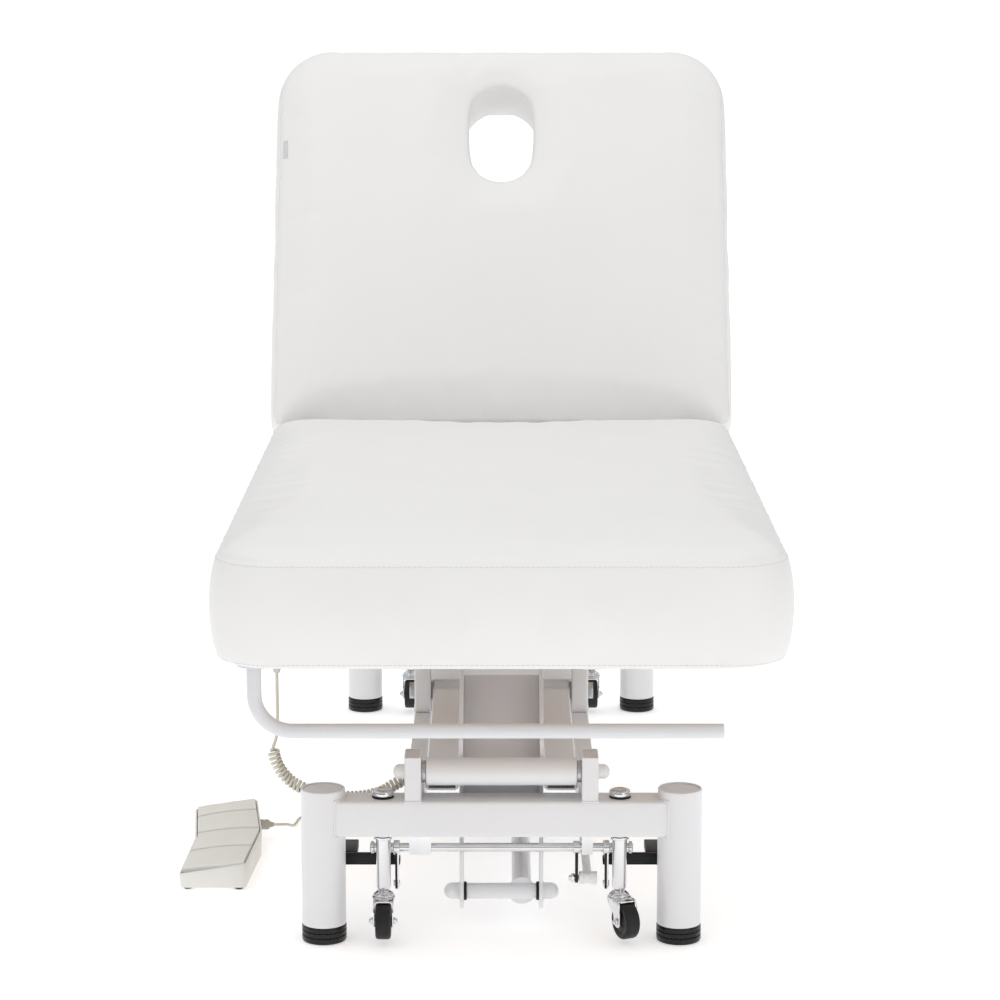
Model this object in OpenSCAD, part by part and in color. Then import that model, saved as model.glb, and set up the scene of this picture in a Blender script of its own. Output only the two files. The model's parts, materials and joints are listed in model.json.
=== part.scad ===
// Electric facial treatment bed: a four-post base, a parallelogram lift worked by a crank and a
// linear actuator, a seat frame, a powered backrest, lifting castors and a foot control.
// Millimetres, +Z up, head end towards +Y. The origin is the centre of the outline at floor level.

/* [Bed] */
// Width of both cushions
bed_w = 730; // [700:10:760]
// Thickness of the cushions between their seams
cushion_th = 136; // [120:4:140]
// How far the padding crowns above the upper seam
crown = 17; // [12:1:20]
// Length of the backrest cushion
back_len = 646; // [600:2:700]
// Angle of the backrest above level, as stored
back_angle = 65; // [0:1:75]
// Width of the face hole
hole_w = 106; // [90:2:120]
// Length of the face hole
hole_l = 164; // [120:2:180]

/* [Base] */
// Diameter of the leg posts
post_d = 60; // [50:2:64]
// Height of the top of the posts
post_top = 214; // [206:2:230]
// Size of the square end beams
beam = 50; // [46:2:52]
// Width of the base rails and of the tubes that stand on them
rail_w = 25; // [22:1:26]

/* [Lift] */
// Diameter of the pivot tubes
pivot_d = 38; // [34:1:40]
// Diameter of the push rod
push_d = 27; // [24:1:30]
// Diameter of the pivot bolts
bolt_d = 16; // [12:1:18]

/* [Castors] */
// Diameter of the castor wheels
wheel_d = 50; // [44:1:52]
// Width of the castor wheels
wheel_w = 21; // [16:1:22]
// How far the wheels trail behind their stems
trail = 20; // [14:1:22]
// Turn of the right front castor, as stored
front_right_turn = 25; // [-60:5:60]

/* [Paper bar] */
// Diameter of the bar
bar_d = 19; // [16:1:22]
// Radius of its bend
bar_bend = 48; // [40:1:55]

/* [Leads] */
// Diameter of both leads
lead_d = 4.5; // [4:0.5:5]
// Outside diameter of the curled stretch
curl_d = 18; // [16:1:20]

/* [Hidden] */
$fn = 64;

fit = 0.05;                 // radial clearance of everything that turns or slides
touch = 0.02;               // radial clearance of round joints that don't move
wall = 2.5;                 // wall of the steel tubes

post_x = 242.5;             // posts, left and right of the centre plane
post_y = 638.5;             // posts, in front of and behind the base's centre
foot_h = 24;
foot_r = 30.5;
beam_z = 151;               // underside of the beams and the base rails
beam_top = beam_z + beam;
rail_x = 106;               // inner face of the base rails and the seat frame's rails

arm_l = 488.5;              // between the pivots of a lift arm
low_y = [-post_y, 130];     // lower pivots, front and rear
low_z = 237;
high_z = 229;               // upper pivots
arm_in = 60;                // inner and outer faces of the lift arms
arm_out = 102;
tube_r = pivot_d / 2;
bolt_r = bolt_d / 2;

crank_y = -592;             // the crank's lower pivot
crank_z = 53.5;
cheek_in = 52;
cheek_t = 5.5;
push_x = 28;                // plane of the push rod and the lift actuator
tail_y = 60;                // rear end of the lift actuator
tail_z = 75;
push_len = norm([tail_y - crank_y, tail_z - crank_z]);
push_tilt = atan2(tail_z - crank_z, tail_y - crank_y);

deck_z = 448;               // top of the seat frame, underside of the cushions
frame_h = 40;
seat_front = -931;
seat_rear = 163.7;
board_t = 15;
seam_z = deck_z + cushion_th;

hinge_y = 166;              // backrest hinge, level with the upper seam
hinge_z = seam_z + 1;
ear_x = 300;
back_front = hinge_y + 2.5; // end face of the backrest cushion when the bed is flat
back_end = back_front + back_len;
hole_y = back_end - 149.5;

// Backrest actuator: its tail on the seat frame, and its lug, with the backrest flat.
back_tail = [168, 335];
lug_flat = [540, 262];
lug_rest = [
    hinge_y + (lug_flat[0] - hinge_y) * cos(back_angle) - (lug_flat[1] - hinge_z) * sin(back_angle),
    hinge_z + (lug_flat[0] - hinge_y) * sin(back_angle) + (lug_flat[1] - hinge_z) * cos(back_angle)
];
back_act_len = norm(lug_rest - back_tail);
back_act_tilt = atan2(lug_rest[1] - back_tail[1], lug_rest[0] - back_tail[0]);

stem_x = 161;
stem_r = 10;
shaft_back = 18.5;          // castor shafts, behind their stems
shaft_z = 124.5;
shaft_r = 6;
lever_drop = 43.5;
axle_z = wheel_d / 2 + 7;
fork_top = 62;

// Outline of the foot control, from the front left corner, and its sloping top.
control_outline = [[-465, -425], [-367, -425], [-357, -262], [-378, -83], [-475, -80], [-459, -245]];
control_left_z = 26;
control_slope = 9.2;
tread_cuts = [[-412, -427], [-320, -342], [-230, -253], [-139, -149], [-70, -72]];
tread_t = 8;
tread_pin = [-452, 25.6];   // X and Z of the pin that the treads tilt on
tread_pin_r = 1.2;
gland_y = -174;
gland_z = 25;

left_reach = 475;
origin_x = (left_reach - bed_w / 2) / 2;
origin_y = -(seat_front + post_y + foot_r) / 2;

// Route of the foot control's lead: along the floor, then up to a clip under the left base rail.
control_route_in = [
    [-346, -174, 25], [-336, -174, 25], [-328, -167, 23], [-323, -150, 17], [-320, -122, 8],
    [-318, -92, 3], [-314, -64, 2.3], [-302, -46, 2.3], [-284, -44, 2.3], [-266, -56, 2.3],
    [-246, -74, 2.3], [-222, -85, 2.3], [-200, -88, 2.3]
];
control_route_out = [
    [-161, -52, 6.8], [-157, -34, 4.5], [-150, -18, 2.5], [-140, -4, 2.6], [-129, 6, 5],
    [-122, 9.5, 14], [-119, 10, 30], [-118.5, 10, 70], [-118.5, 10, 110], [-118.5, 10, 145]
];
coil_at = [-190, -60];
coil_r = 25;                // middle of the coil's turns

// Route of the curled lead: straight down from the control box, then a curled stretch to the arm.
drop_route = [
    [-309, -560, 356], [-309, -560, 320], [-309, -560, 290], [-310, -560, 268], [-316, -560, 248]
];
curl_route = [
    [-316, -560, 248], [-312, -560, 231], [-303, -561, 214], [-291, -563, 202], [-276, -567, 194],
    [-256, -572, 188], [-234, -578, 185], [-210, -584, 185], [-186, -588, 188], [-164, -591, 195],
    [-146, -592, 206], [-131, -592, 214], [-119, -592, 218.5], [-108.4, -592, 218.5]
];

module place() { translate([origin_x, origin_y, 0]) children(); }
module block(x, y, z) { translate([x[0], y[0], z[0]]) cube([x[1] - x[0], y[1] - y[0], z[1] - z[0]]); }
module sides() { children(); mirror([1, 0, 0]) children(); }
module bar_x(x0, x1, y, z, r) { translate([x0, y, z]) rotate([0, 90, 0]) cylinder(h = x1 - x0, r = r); }
module bar_y(x, y0, y1, z, r) { translate([x, y1, z]) rotate([90, 0, 0]) cylinder(h = y1 - y0, r = r); }
module plate_x(x0, x1) {
    translate([x0, 0, 0]) rotate([90, 0, 90]) linear_extrude(height = x1 - x0) children();
}

// Square or flat steel tube between two corners, open along one axis: 0 for X, 1 for Y, 2 for Z.
module steel(x, y, z, axis) {
    t = [axis == 0 ? -1 : wall, axis == 1 ? -1 : wall, axis == 2 ? -1 : wall];
    difference() {
        block(x, y, z);
        block([x[0] + t[0], x[1] - t[0]], [y[0] + t[1], y[1] - t[1]], [z[0] + t[2], z[1] - t[2]]);
    }
}

module at_posts() { for (sx = [-1, 1], sy = [-1, 1]) translate([sx * post_x, sy * post_y, 0]) children(); }

// Domed plastic cap over a nut, standing on the plane x = 0 and pointing towards +X.
module dome_cap(r, h) {
    rotate([0, 90, 0]) rotate_extrude() intersection() {
        union() {
            square([r, h * 0.45]);
            translate([0, h * 0.45]) scale([r, h * 0.55]) circle(1);
        }
        square([r, h]);
    }
}

// A tube swept along a list of points.
function unit(v) = v / norm(v);
function heading(p, i) = unit(p[min(i + 1, len(p) - 1)] - p[max(i - 1, 0)]);
function across(d) = unit(cross(d, abs(d[1]) < 0.9 ? [0, 1, 0] : [1, 0, 0]));
module hose(p, r, sides) {
    rings = [for (i = [0:len(p) - 1]) let (d = heading(p, i), u = across(d), v = cross(d, u))
        for (k = [0:sides - 1]) p[i] + r * (cos(360 * k / sides) * u + sin(360 * k / sides) * v)];
    skin = [for (i = [0:len(p) - 2], k = [0:sides - 1])
        let (a = i * sides, b = a + sides, n = (k + 1) % sides)
            each [[a + k, b + n, a + n], [a + k, b + k, b + n]]];
    first = [for (k = [0:sides - 1]) k];
    last = [for (k = [sides - 1:-1:0]) (len(p) - 1) * sides + k];
    polyhedron(points = rings, faces = concat([first], skin, [last]), convexity = 4);
}

// ---- Base ----

module leg_posts() {
    color("white") place() at_posts() translate([0, 0, foot_h]) difference() {
        cylinder(h = post_top - foot_h, d = post_d);
        translate([0, 0, -1]) cylinder(h = post_top, r = post_d / 2 - wall);
    }
}

// Grey plugs in the tops of the posts and the pivot uprights.
module tube_plugs() {
    color("silver") place() {
        at_posts() translate([0, 0, post_top - 16]) cylinder(h = 14, r = post_d / 2 - wall - touch);
        sides() for (y = low_y)
            block([rail_x + 5, rail_x + rail_w - wall - touch], [y - 22, y + 22], [250, 261.5]);
    }
}

module rubber_feet() {
    groove = [for (z = [8, 15])
        each [[foot_r, z], [foot_r - 1.2, z + 0.4], [foot_r - 1.2, z + 1.6], [foot_r, z + 2]]];
    color("black") place() at_posts() rotate_extrude() polygon(concat(
        [[0, 0], [foot_r - 1.5, 0], [foot_r, 1.5]], groove,
        [[foot_r, foot_h], [post_d / 2 - wall - touch, foot_h], [post_d / 2 - wall - touch, foot_h + 20],
         [0, foot_h + 20]]));
}

module end_beams() {
    color("white") place() for (s = [-1, 1]) translate([0, s * post_y, 0]) difference() {
        steel([-post_x, post_x], [-beam / 2, beam / 2], [beam_z, beam_top], 0);
        for (x = [-post_x, post_x]) translate([x, 0, 0]) cylinder(h = 300, r = post_d / 2 + touch);
        for (x = [-stem_x, stem_x]) translate([x, 0, 0]) cylinder(h = 300, r = stem_r + fit);
    }
}

module base_rails() {
    color("white") place() sides()
        steel([rail_x, rail_x + rail_w], [beam / 2 - post_y, post_y - beam / 2], [beam_z, beam_top], 1);
}

module pivot_uprights() {
    color("white") place() sides() for (y = low_y) difference() {
        steel([rail_x + 2.5, rail_x + rail_w], [y - 25, y + 25], [beam_top, 262], 2);
        bar_x(rail_x, 140, y, low_z, bolt_r + touch);
    }
}

// Cross tube between the base rails, with the slotted bracket that holds the lift actuator's tail.
module actuator_crossbar() {
    color("white") place() {
        steel([-rail_x, rail_x], [tail_y - 25, tail_y + 25], [beam_z, beam_top], 0);
        for (x = [push_x - 24, push_x + 19]) difference() {
            block([x, x + 5], [tail_y - 22, tail_y + 20], [46, beam_z]);
            block([x - 1, x + 6], [tail_y - 14, tail_y + 11], [56, 83.5]);
        }
    }
}

// Bearing blocks of the castor shafts and guide rings of the stems under the beams, and the caps over
// the stems on top of them.
module castor_bearings() {
    color("lightgray") place() {
        for (y = [-post_y, post_y]) translate([0, y, 0]) {
            for (x = [[-126, -96], [110, 125]]) difference() {
                block(x, [shaft_back - 8, shaft_back + 6.4], [shaft_z - 8.5, beam_z]);
                bar_x(x[0] - 1, x[1] + 1, shaft_back, shaft_z, shaft_r + fit);
            }
            for (x = [-stem_x, stem_x]) translate([x, 0, 0]) difference() {
                union() {
                    translate([0, 0, beam_z - 9]) cylinder(h = 9, r = 12.5);
                    translate([0, 0, beam_top]) cylinder(h = 11, r = 14.5);
                }
                cylinder(h = beam_top + 7, r = stem_r + fit);
            }
        }
        block([-126, -111], [3, 17], [145, beam_z]);
    }
}

module lower_pivot_bolts() {
    color("dimgray") place() for (y = low_y) {
        bar_x(-rail_x - rail_w, rail_x + rail_w, y, low_z, bolt_r);
        for (s = [0, 1]) mirror([s, 0, 0]) bar_x(arm_out + 0.1, rail_x + 2.4, y, low_z, 15);
    }
}

module pivot_nut_caps() {
    color("white") place() sides() for (y = low_y)
        translate([rail_x + rail_w, y, low_z]) dome_cap(10, 16);
}

// ---- Lift arms, crank and lift actuator ----

module arm_tubes(pivots, slack) {
    for (p = pivots) difference() {
        bar_x(-arm_out, arm_out, p[0], p[1], tube_r);
        bar_x(-arm_out - 1, arm_out + 1, p[0], p[1], bolt_r + (p[1] == high_z ? slack : fit));
    }
}

module lift_arms(y) {
    sides() difference() {
        steel([arm_in, arm_out], [y, y + arm_l], [208, 238], 1);
        for (p = [[y, low_z], [y + arm_l, high_z]])
            bar_x(arm_in - 1, arm_out + 1, p[0], p[1], tube_r + touch);
        block([arm_in - 1, arm_out + 1], [y - 30, y], [190, 260]);
        block([arm_in - 1, arm_out + 1], [y + arm_l, y + arm_l + 30], [190, 260]);
        block([arm_in - 1, arm_out + 1], [y - 1, y + 9], [200, 240]);
        block([arm_in - 1, arm_out + 1], [y + arm_l - 6, y + arm_l + 1], [200, 240]);
    }
}

module front_lift_arms() {
    color("white") place() {
        arm_tubes([[low_y[0], low_z], [low_y[0] + arm_l, high_z]], fit);
        lift_arms(low_y[0]);
    }
}
module rear_lift_arms() {
    color("white") place() {
        arm_tubes([[low_y[1], low_z], [low_y[1] + arm_l, high_z]], 0.4);
        lift_arms(low_y[1]);
    }
}

// Clip of the curled lead, on the outer face of the left front arm.
module lead_clip() {
    color("white") place() block([-rail_x - 2, -arm_out], [-600, -584], [212, 232]);
}

module cheek_outline() {
    difference() {
        union() {
            polygon([[-609, 60], [-609, 208], [-624, 222], [-630, 250], [-627, 276], [-527, 367],
                [-494, 331], [-590, 243], [-575, 222], [-575, 60]]);
            translate([crank_y, crank_z]) circle(r = 24);
        }
        translate([low_y[0], low_z]) circle(r = tube_r + touch);
        translate([crank_y, crank_z]) circle(r = 6 + touch);
    }
}
module crank_cheeks() {
    color("gainsboro") place() sides() plate_x(cheek_in, cheek_in + cheek_t) cheek_outline();
}
module crank_web() {
    color("darkgray") place() plate_x(-cheek_in, cheek_in)
        polygon([[-601, 150], [-597, 150], [-597, 243.5], [-497, 334.5], [-500, 338], [-601, 245.5]]);
}

module crank_bolt() {
    color("black") place() {
        bar_x(-cheek_in - cheek_t, cheek_in + cheek_t, crank_y, crank_z, 6);
        for (s = [0, 1]) mirror([s, 0, 0]) bar_x(48.1, cheek_in, crank_y, crank_z, 13);
    }
}
module crank_caps() {
    color("white") place() sides() translate([cheek_in + cheek_t, crank_y, crank_z]) dome_cap(11.5, 22);
}

// Local frame of the lift actuator: z runs from the crank pivot to the tail.
module along_push() { translate([push_x, crank_y, crank_z]) rotate([push_tilt - 90, 0, 0]) children(); }
module push_rod() {
    color("white") place() difference() {
        union() {
            bar_x(-48, 48, crank_y, crank_z, 11);
            along_push() {
                cylinder(h = 290, r = push_d / 2);
                cylinder(h = 24, r1 = push_d / 2 + 6, r2 = push_d / 2);
                cylinder(h = 462, r = 10);
            }
        }
        bar_x(-60, 60, crank_y, crank_z, 6 + fit);
        for (s = [0, 1]) mirror([s, 0, 0]) block([48, 60], [-640, -540], [20, 90]);
    }
}
module lift_actuator() {
    color("dimgray") place() {
        along_push() difference() {
            union() {
                translate([0, 0, 402]) cylinder(h = 200, r = 20);
                translate([0, 0, 402]) cylinder(h = 12, r = 23);
                translate([0, -46, 450]) cylinder(h = 148, r = 27);
                translate([-16.5, -72, 590]) cube([33, 92, 46]);
                translate([-10, -12, 600]) cube([20, 24, push_len - 600]);
            }
            translate([0, 0, 401]) cylinder(h = 184, r = 10 + fit);
        }
        bar_x(push_x - 27, push_x + 27, tail_y, tail_z, 6);
    }
}

// ---- Seat frame ----

module frame_rails() {
    color("white") place() sides()
        steel([rail_x, rail_x + rail_w], [-760, 643.5], [deck_z - frame_h, deck_z], 1);
}

// Cross tubes between the rails, the outriggers outside them, the backrest actuator's bracket, and the
// plate between the front drop brackets.
module frame_crossbars() {
    z = [deck_z - frame_h, deck_z];
    color("white") place() {
        for (y = [-700, -540, -170, 124]) {
            steel([-rail_x, rail_x], [y, y + 40], z, 0);
            sides() steel([rail_x + rail_w, 330], [y, y + 40], z, 0);
        }
        for (x = [-23, 18]) difference() {
            plate_x(x, x + 5) polygon([
                [140, z[0]], [140, 345], [152, 324], [168, 321], [177, 325],
                [181, 333], [179, 341], [170, 349], [164, 360], [164, z[0]]]);
            bar_x(x - 1, x + 6, back_tail[0], back_tail[1], 6 + fit);
        }
        block([touch - rail_x, rail_x - touch], [-175, -171], [252, 300]);
    }
}

module drop_brackets() {
    color("white") place() sides() for (y = low_y) difference() {
        steel([rail_x, rail_x + rail_w], [y + arm_l - 25, y + arm_l + 25], [203, deck_z - frame_h], 2);
        bar_x(rail_x - 1, 140, y + arm_l, high_z, bolt_r + touch);
    }
}

module upper_pivot_bolts() {
    color("dimgray") place() for (y = low_y) {
        bar_x(-rail_x - rail_w, rail_x + rail_w, y + arm_l, high_z, bolt_r);
        for (s = [0, 1]) mirror([s, 0, 0]) {
            bar_x(arm_out + 0.1, rail_x, y + arm_l, high_z, 14);
            translate([rail_x + rail_w, y + arm_l, high_z]) rotate([0, 90, 0])
                cylinder(h = 8, r = 13, $fn = 6);
        }
    }
}

// Plates that carry the backrest's hinge pins, in pockets between the two cushions.
module hinge_ears() {
    color("dimgray") place() sides() {
        plate_x(ear_x, ear_x + 5) {
            translate([142, deck_z]) square([21, hinge_z - deck_z - 8]);
            hull() {
                translate([hinge_y, hinge_z]) circle(r = 6, $fn = 32);
                translate([146, hinge_z - 20]) square([17, 12]);
            }
        }
        bar_x(ear_x, ear_x + 12, hinge_y, hinge_z, 3);
    }
}

// Plywood board with cut corners at its outer end, which is the front end unless cut is negative.
module board(y, cut, grow) {
    w = 340 + grow;
    front = y[0] - grow;
    rear = y[1] + grow;
    translate([0, 0, deck_z - 10 * grow]) linear_extrude(height = board_t + 11 * grow)
        if (cut > 0)
            polygon([[-w, front + cut], [cut - w, front], [w - cut, front], [w, front + cut],
                [w, rear], [-w, rear]]);
        else
            polygon([[-w, front], [w, front],
                [w, rear + cut], [w + cut, rear], [-w - cut, rear], [-w, rear + cut]]);
}
module seat_board() { color("burlywood") place() board([seat_front + 26, 136], 40, 0); }

// Outline of a cushion with its own radius at each end.
module cushion_outline(y0, y1, r0, r1, inset) {
    w = bed_w / 2 - inset;
    hull() for (s = [-1, 1]) {
        translate([s * (w - r0), y0 + inset + r0]) circle(r = r0, $fn = 32);
        translate([s * (w - r1), y1 - inset - r1]) circle(r = r1, $fn = 32);
    }
}
module cushion(y0, y1, r0, r1) {
    translate([0, 0, deck_z]) linear_extrude(height = cushion_th) cushion_outline(y0, y1, r0, r1, 0);
    hull() for (s = [[0, 0], [5, 0.5], [14, 0.82], [30, 1]])
        translate([0, 0, seam_z - 0.2 + s[1] * (crown - 0.2)]) linear_extrude(height = 0.2)
            cushion_outline(y0, y1, max(r0 - s[0], 4), max(r1 - s[0], 4), s[0]);
}
module hinge_pockets(y) { sides() block([ear_x - 1.5, ear_x + 13.5], y, [deck_z - 1, hinge_z + 8]); }

module seat_cushion() {
    color("ghostwhite") place() difference() {
        cushion(seat_front, seat_rear, 80, 16);
        board([seat_front + 26, 136], 40, 0.1);
        hinge_pockets([138, seat_rear + 5]);
    }
}

// Paper-roll bar: down from the seat board, then level across the front, with its socket plate.
module paper_bar() {
    z = 356;
    x = -314;
    y = -877;
    color("white") place() {
        translate([x, y, z + bar_bend]) cylinder(h = deck_z - z - bar_bend, d = bar_d);
        translate([x + bar_bend, y, z + bar_bend]) rotate([90, 0, 0]) rotate([0, 0, 180])
            rotate_extrude(angle = 90) translate([bar_bend, 0]) circle(d = bar_d);
        bar_x(x + bar_bend, 283, y, z, bar_d / 2);
        translate([x, y, deck_z - 8]) cylinder(h = 8, r = 22);
    }
}

// Power and control unit under the left outriggers, with the gland of the curled lead.
module control_box() {
    color("whitesmoke") place() {
        difference() {
            block([-345, -175], [-590, -440], [368, deck_z - frame_h]);
            for (y = [-555, -515, -475]) block([-176, -174], [y - 12, y + 12], [378, 398]);
        }
        translate([-309, -560, 356]) cylinder(h = 12, r1 = 4.5, r2 = 7);
    }
}

// ---- Backrest, modelled flat and raised to its stored angle ----

module raised() {
    place() translate([0, hinge_y, hinge_z]) rotate([back_angle, 0, 0]) translate([0, -hinge_y, -hinge_z])
        children();
}

module face_hole(grow) {
    for (s = [-1, 1]) translate([0, hole_y + s * (hole_l - hole_w) / 2, deck_z - 5])
        cylinder(h = 200, r = hole_w / 2 + grow);
    half = (hole_l - hole_w) / 2;
    block([-hole_w / 2 - grow, hole_w / 2 + grow], [hole_y - half, hole_y + half],
        [deck_z - 5, deck_z + 195]);
}

module backrest_board() {
    color("burlywood") raised() difference() {
        board([back_front + 22, back_end - 26], -50, 0);
        face_hole(12);
    }
}

module backrest_cushion() {
    color("ghostwhite") raised() difference() {
        cushion(back_front, back_end, 16, 85);
        board([back_front + 22, back_end - 26], -50, 0.1);
        face_hole(0);
        hinge_pockets([back_front - 5, back_front + 28]);
    }
}

// Lengthwise tubes with a stub out to each hinge strap, the cross tube at the head end, and the slotted
// lug of the backrest actuator.
module backrest_frame() {
    z = [deck_z - 25, deck_z];
    plate_z = deck_z - 3;
    color("white") raised() {
        sides() {
            steel([200, 225], [176, 788], z, 1);
            steel([225 + touch, ear_x + 6], [176, 201], z, 0);
        }
        steel([touch - 200, 200 - touch], [763, 788], z, 0);
        block([-30, 30], [lug_flat[0] - 50, lug_flat[0] + 25.5], [plate_z, deck_z]);
        for (x = [-23, 18]) difference() {
            block([x, x + 5], [lug_flat[0] - 23.5, lug_flat[0] + 25.5], [lug_flat[1] - 28, plate_z]);
            block([x - 1, x + 6], [lug_flat[0] - 17, lug_flat[0] + 20],
                [lug_flat[1] - 22, lug_flat[1] + 20.5]);
        }
    }
}

module hinge_straps() {
    color("dimgray") raised() sides() difference() {
        plate_x(ear_x + 6, ear_x + 11) {
            translate([back_front, deck_z - 25]) square([22, hinge_z - deck_z + 17]);
            hull() {
                translate([hinge_y, hinge_z]) circle(r = 6, $fn = 32);
                translate([back_front, hinge_z - 20]) square([17, 12]);
            }
        }
        bar_x(ear_x + 5, ear_x + 12, hinge_y, hinge_z, 3 + fit);
    }
}

// Local frame of the backrest actuator: z runs from its tail to the lug.
module along_back() {
    translate([0, back_tail[0], back_tail[1]]) rotate([back_act_tilt - 90, 0, 0]) children();
}
module back_actuator() {
    color("dimgray") place() {
        along_back() difference() {
            union() {
                translate([0, 0, 30]) cylinder(h = 315, r = 18);
                translate([0, 0, 333]) cylinder(h = 12, r = 20);
                translate([44, 0, 34]) cylinder(h = 128, r = 25);
                translate([-18, -18, 24]) cube([87, 36, 40]);
                translate([-10, -8, 0]) cube([20, 16, 30]);
            }
            translate([0, 0, 36]) cylinder(h = 315, r = 9 + fit);
            rotate([0, 90, 0]) translate([0, 0, -30]) cylinder(h = 60, r = 6 + touch);
        }
        bar_x(-26, 26, back_tail[0], back_tail[1], 6);
    }
}
module back_actuator_rod() {
    color("silver") place() {
        along_back() {
            translate([0, 0, back_act_len - 352]) cylinder(h = 344, r = 9);
            translate([-12, -8, back_act_len - 12]) cube([24, 16, 18]);
        }
        bar_x(-26, 26, lug_rest[0], lug_rest[1], 5);
    }
}

// ---- Castors and the shafts that lower them ----

module hanging_lever(x) {
    bar_x(x[0], x[1], shaft_back, shaft_z, 10);
    block(x, [shaft_back - 4, shaft_back + 4], [shaft_z - 58, shaft_z]);
}
module castor_shaft(y) {
    translate([0, y, 0]) difference() {
        union() {
            bar_x(-180, 180, shaft_back, shaft_z, shaft_r);
            for (x = [[-148, -139], [139, 148]]) hanging_lever(x);
            bar_x(100, 106, shaft_back, shaft_z, 9);
            block([100, 106], [shaft_back - 5, shaft_back + 5], [shaft_z - lever_drop - 7, shaft_z]);
        }
        bar_x(90, 110, shaft_back, shaft_z - lever_drop, 4 + 0.2);
    }
}
module castor_shaft_front() { color("silver") place() castor_shaft(-post_y); }
module castor_shaft_rear() { color("silver") place() castor_shaft(post_y); }

// Flat bars on the front shaft's outer levers, each ending in a pad for the foot behind the post.
module foot_bars() {
    y = shaft_back - post_y;
    color("black") place() sides() {
        block([148, 216], [y + 17, y + 23], [94, 111]);
        block([139, 148], [y + 4, y + 23], [98, 107]);
        block([200, 216], [y + 23, y + 50], [94, 100]);
        block([200, 274], [y + 42, y + 100], [94, 106]);
    }
}

module castor_link() {
    y = [shaft_back - post_y, shaft_back + post_y];
    z = shaft_z - lever_drop;
    color("white") place() {
        bar_y(118, y[0], y[1], z, 6);
        for (e = y) {
            bar_x(106.3, 131, e, z, 9);
            bar_x(98, 106.3, e, z, 4);
        }
    }
}

module castor_stem(x, y) {
    color("silver") place() translate([x, y, 0]) {
        translate([0, 0, fork_top + 0.3]) cylinder(h = beam_top + 6 - fork_top, r = stem_r);
        translate([0, 0, fork_top - 5]) cylinder(h = 7, r = 5);
    }
}
module turned(x, y, a) { translate([x, y, 0]) rotate([0, 0, a]) children(); }
module castor_fork(x, y, a) {
    color("silver") place() turned(x, y, a) difference() {
        union() {
            hull() {
                translate([0, 0, fork_top - 4]) cylinder(h = 4, r = 16, $fn = 32);
                translate([0, -trail, fork_top - 4]) cylinder(h = 4, r = 13, $fn = 32);
            }
            sides() plate_x(wheel_w / 2 + 1, wheel_w / 2 + 4) polygon([
                [-trail - 7, axle_z - 6], [-trail + 6, axle_z - 6],
                [10, fork_top - 3], [-trail - 4, fork_top - 3]]);
            bar_x(-wheel_w / 2 - 7, wheel_w / 2 + 7, -trail, axle_z, 3);
        }
        translate([0, 0, fork_top - 15]) cylinder(h = 20, r = 5 + fit);
    }
}
module castor_wheel(x, y, a) {
    r = wheel_d / 2;
    w = wheel_w / 2;
    color("black") place() turned(x, y, a) translate([0, -trail, axle_z])
        rotate([0, 90, 0]) rotate_extrude() polygon([
            [3 + fit, -w - 0.6], [7, -w - 0.6], [8, -w], [r - 4, -w], [r - 1, -w + 1.5], [r, -w + 5],
            [r, w - 5], [r - 1, w - 1.5], [r - 4, w], [8, w], [7, w + 0.6], [3 + fit, w + 0.6]]);
}

module castor_stem_fl() { castor_stem(-stem_x, -post_y); }
module castor_stem_fr() { castor_stem(stem_x, -post_y); }
module castor_stem_rl() { castor_stem(-stem_x, post_y); }
module castor_stem_rr() { castor_stem(stem_x, post_y); }
module castor_fork_fl() { castor_fork(-stem_x, -post_y, 0); }
module castor_fork_fr() { castor_fork(stem_x, -post_y, front_right_turn); }
module castor_fork_rl() { castor_fork(-stem_x, post_y, 0); }
module castor_fork_rr() { castor_fork(stem_x, post_y, 0); }
module castor_wheel_fl() { castor_wheel(-stem_x, -post_y, 0); }
module castor_wheel_fr() { castor_wheel(stem_x, -post_y, front_right_turn); }
module castor_wheel_rl() { castor_wheel(-stem_x, post_y, 0); }
module castor_wheel_rr() { castor_wheel(stem_x, post_y, 0); }

// ---- Foot control ----

module slope(lift, depth) {
    translate([-left_reach, -500, control_left_z + lift]) rotate([0, -control_slope, 0])
        translate([-20, 0, -depth]) cube([180, 500, depth]);
}

// Open tray with feet and a lead gland; the treads drop into it.
module control_housing() {
    color("ivory") place() {
        difference() {
            intersection() {
                translate([0, 0, 4]) linear_extrude(height = 60) polygon(control_outline);
                slope(-3, 80);
            }
            translate([0, 0, 7]) linear_extrude(height = 60) offset(delta = -2.5) polygon(control_outline);
        }
        for (p = [[-453, -410], [-379, -412], [-460, -95], [-390, -97]])
            translate([p[0], p[1], 0]) cylinder(h = 4, r = 6);
        bar_x(-370.5, -346, gland_y, gland_z, 7.5);
        bar_y(tread_pin[0], -424, -81.8, tread_pin[1], tread_pin_r);
    }
}

module tread(i) {
    near = tread_cuts[i];
    far = tread_cuts[i + 1];
    color("ivory") place() difference() {
        intersection() {
            translate([0, 0, 5]) linear_extrude(height = 60) intersection() {
                offset(delta = -4) polygon(control_outline);
                polygon([
                    [-left_reach, near[0] + 0.8], [-350, near[1] + 0.8],
                    [-350, far[1] - 0.8], [-left_reach, far[0] - 0.8]
                ]);
            }
            slope(0, tread_t);
        }
        bar_y(tread_pin[0], -430, -60, tread_pin[1], tread_pin_r + 0.2);
    }
}
module tread_1() { tread(0); }
module tread_2() { tread(1); }
module tread_3() { tread(2); }
module tread_4() { tread(3); }

// ---- Leads ----

module control_lead_in() { color("beige") place() hose(control_route_in, lead_d / 2, 8); }
module control_lead_out() { color("beige") place() hose(control_route_out, lead_d / 2, 8); }

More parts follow.
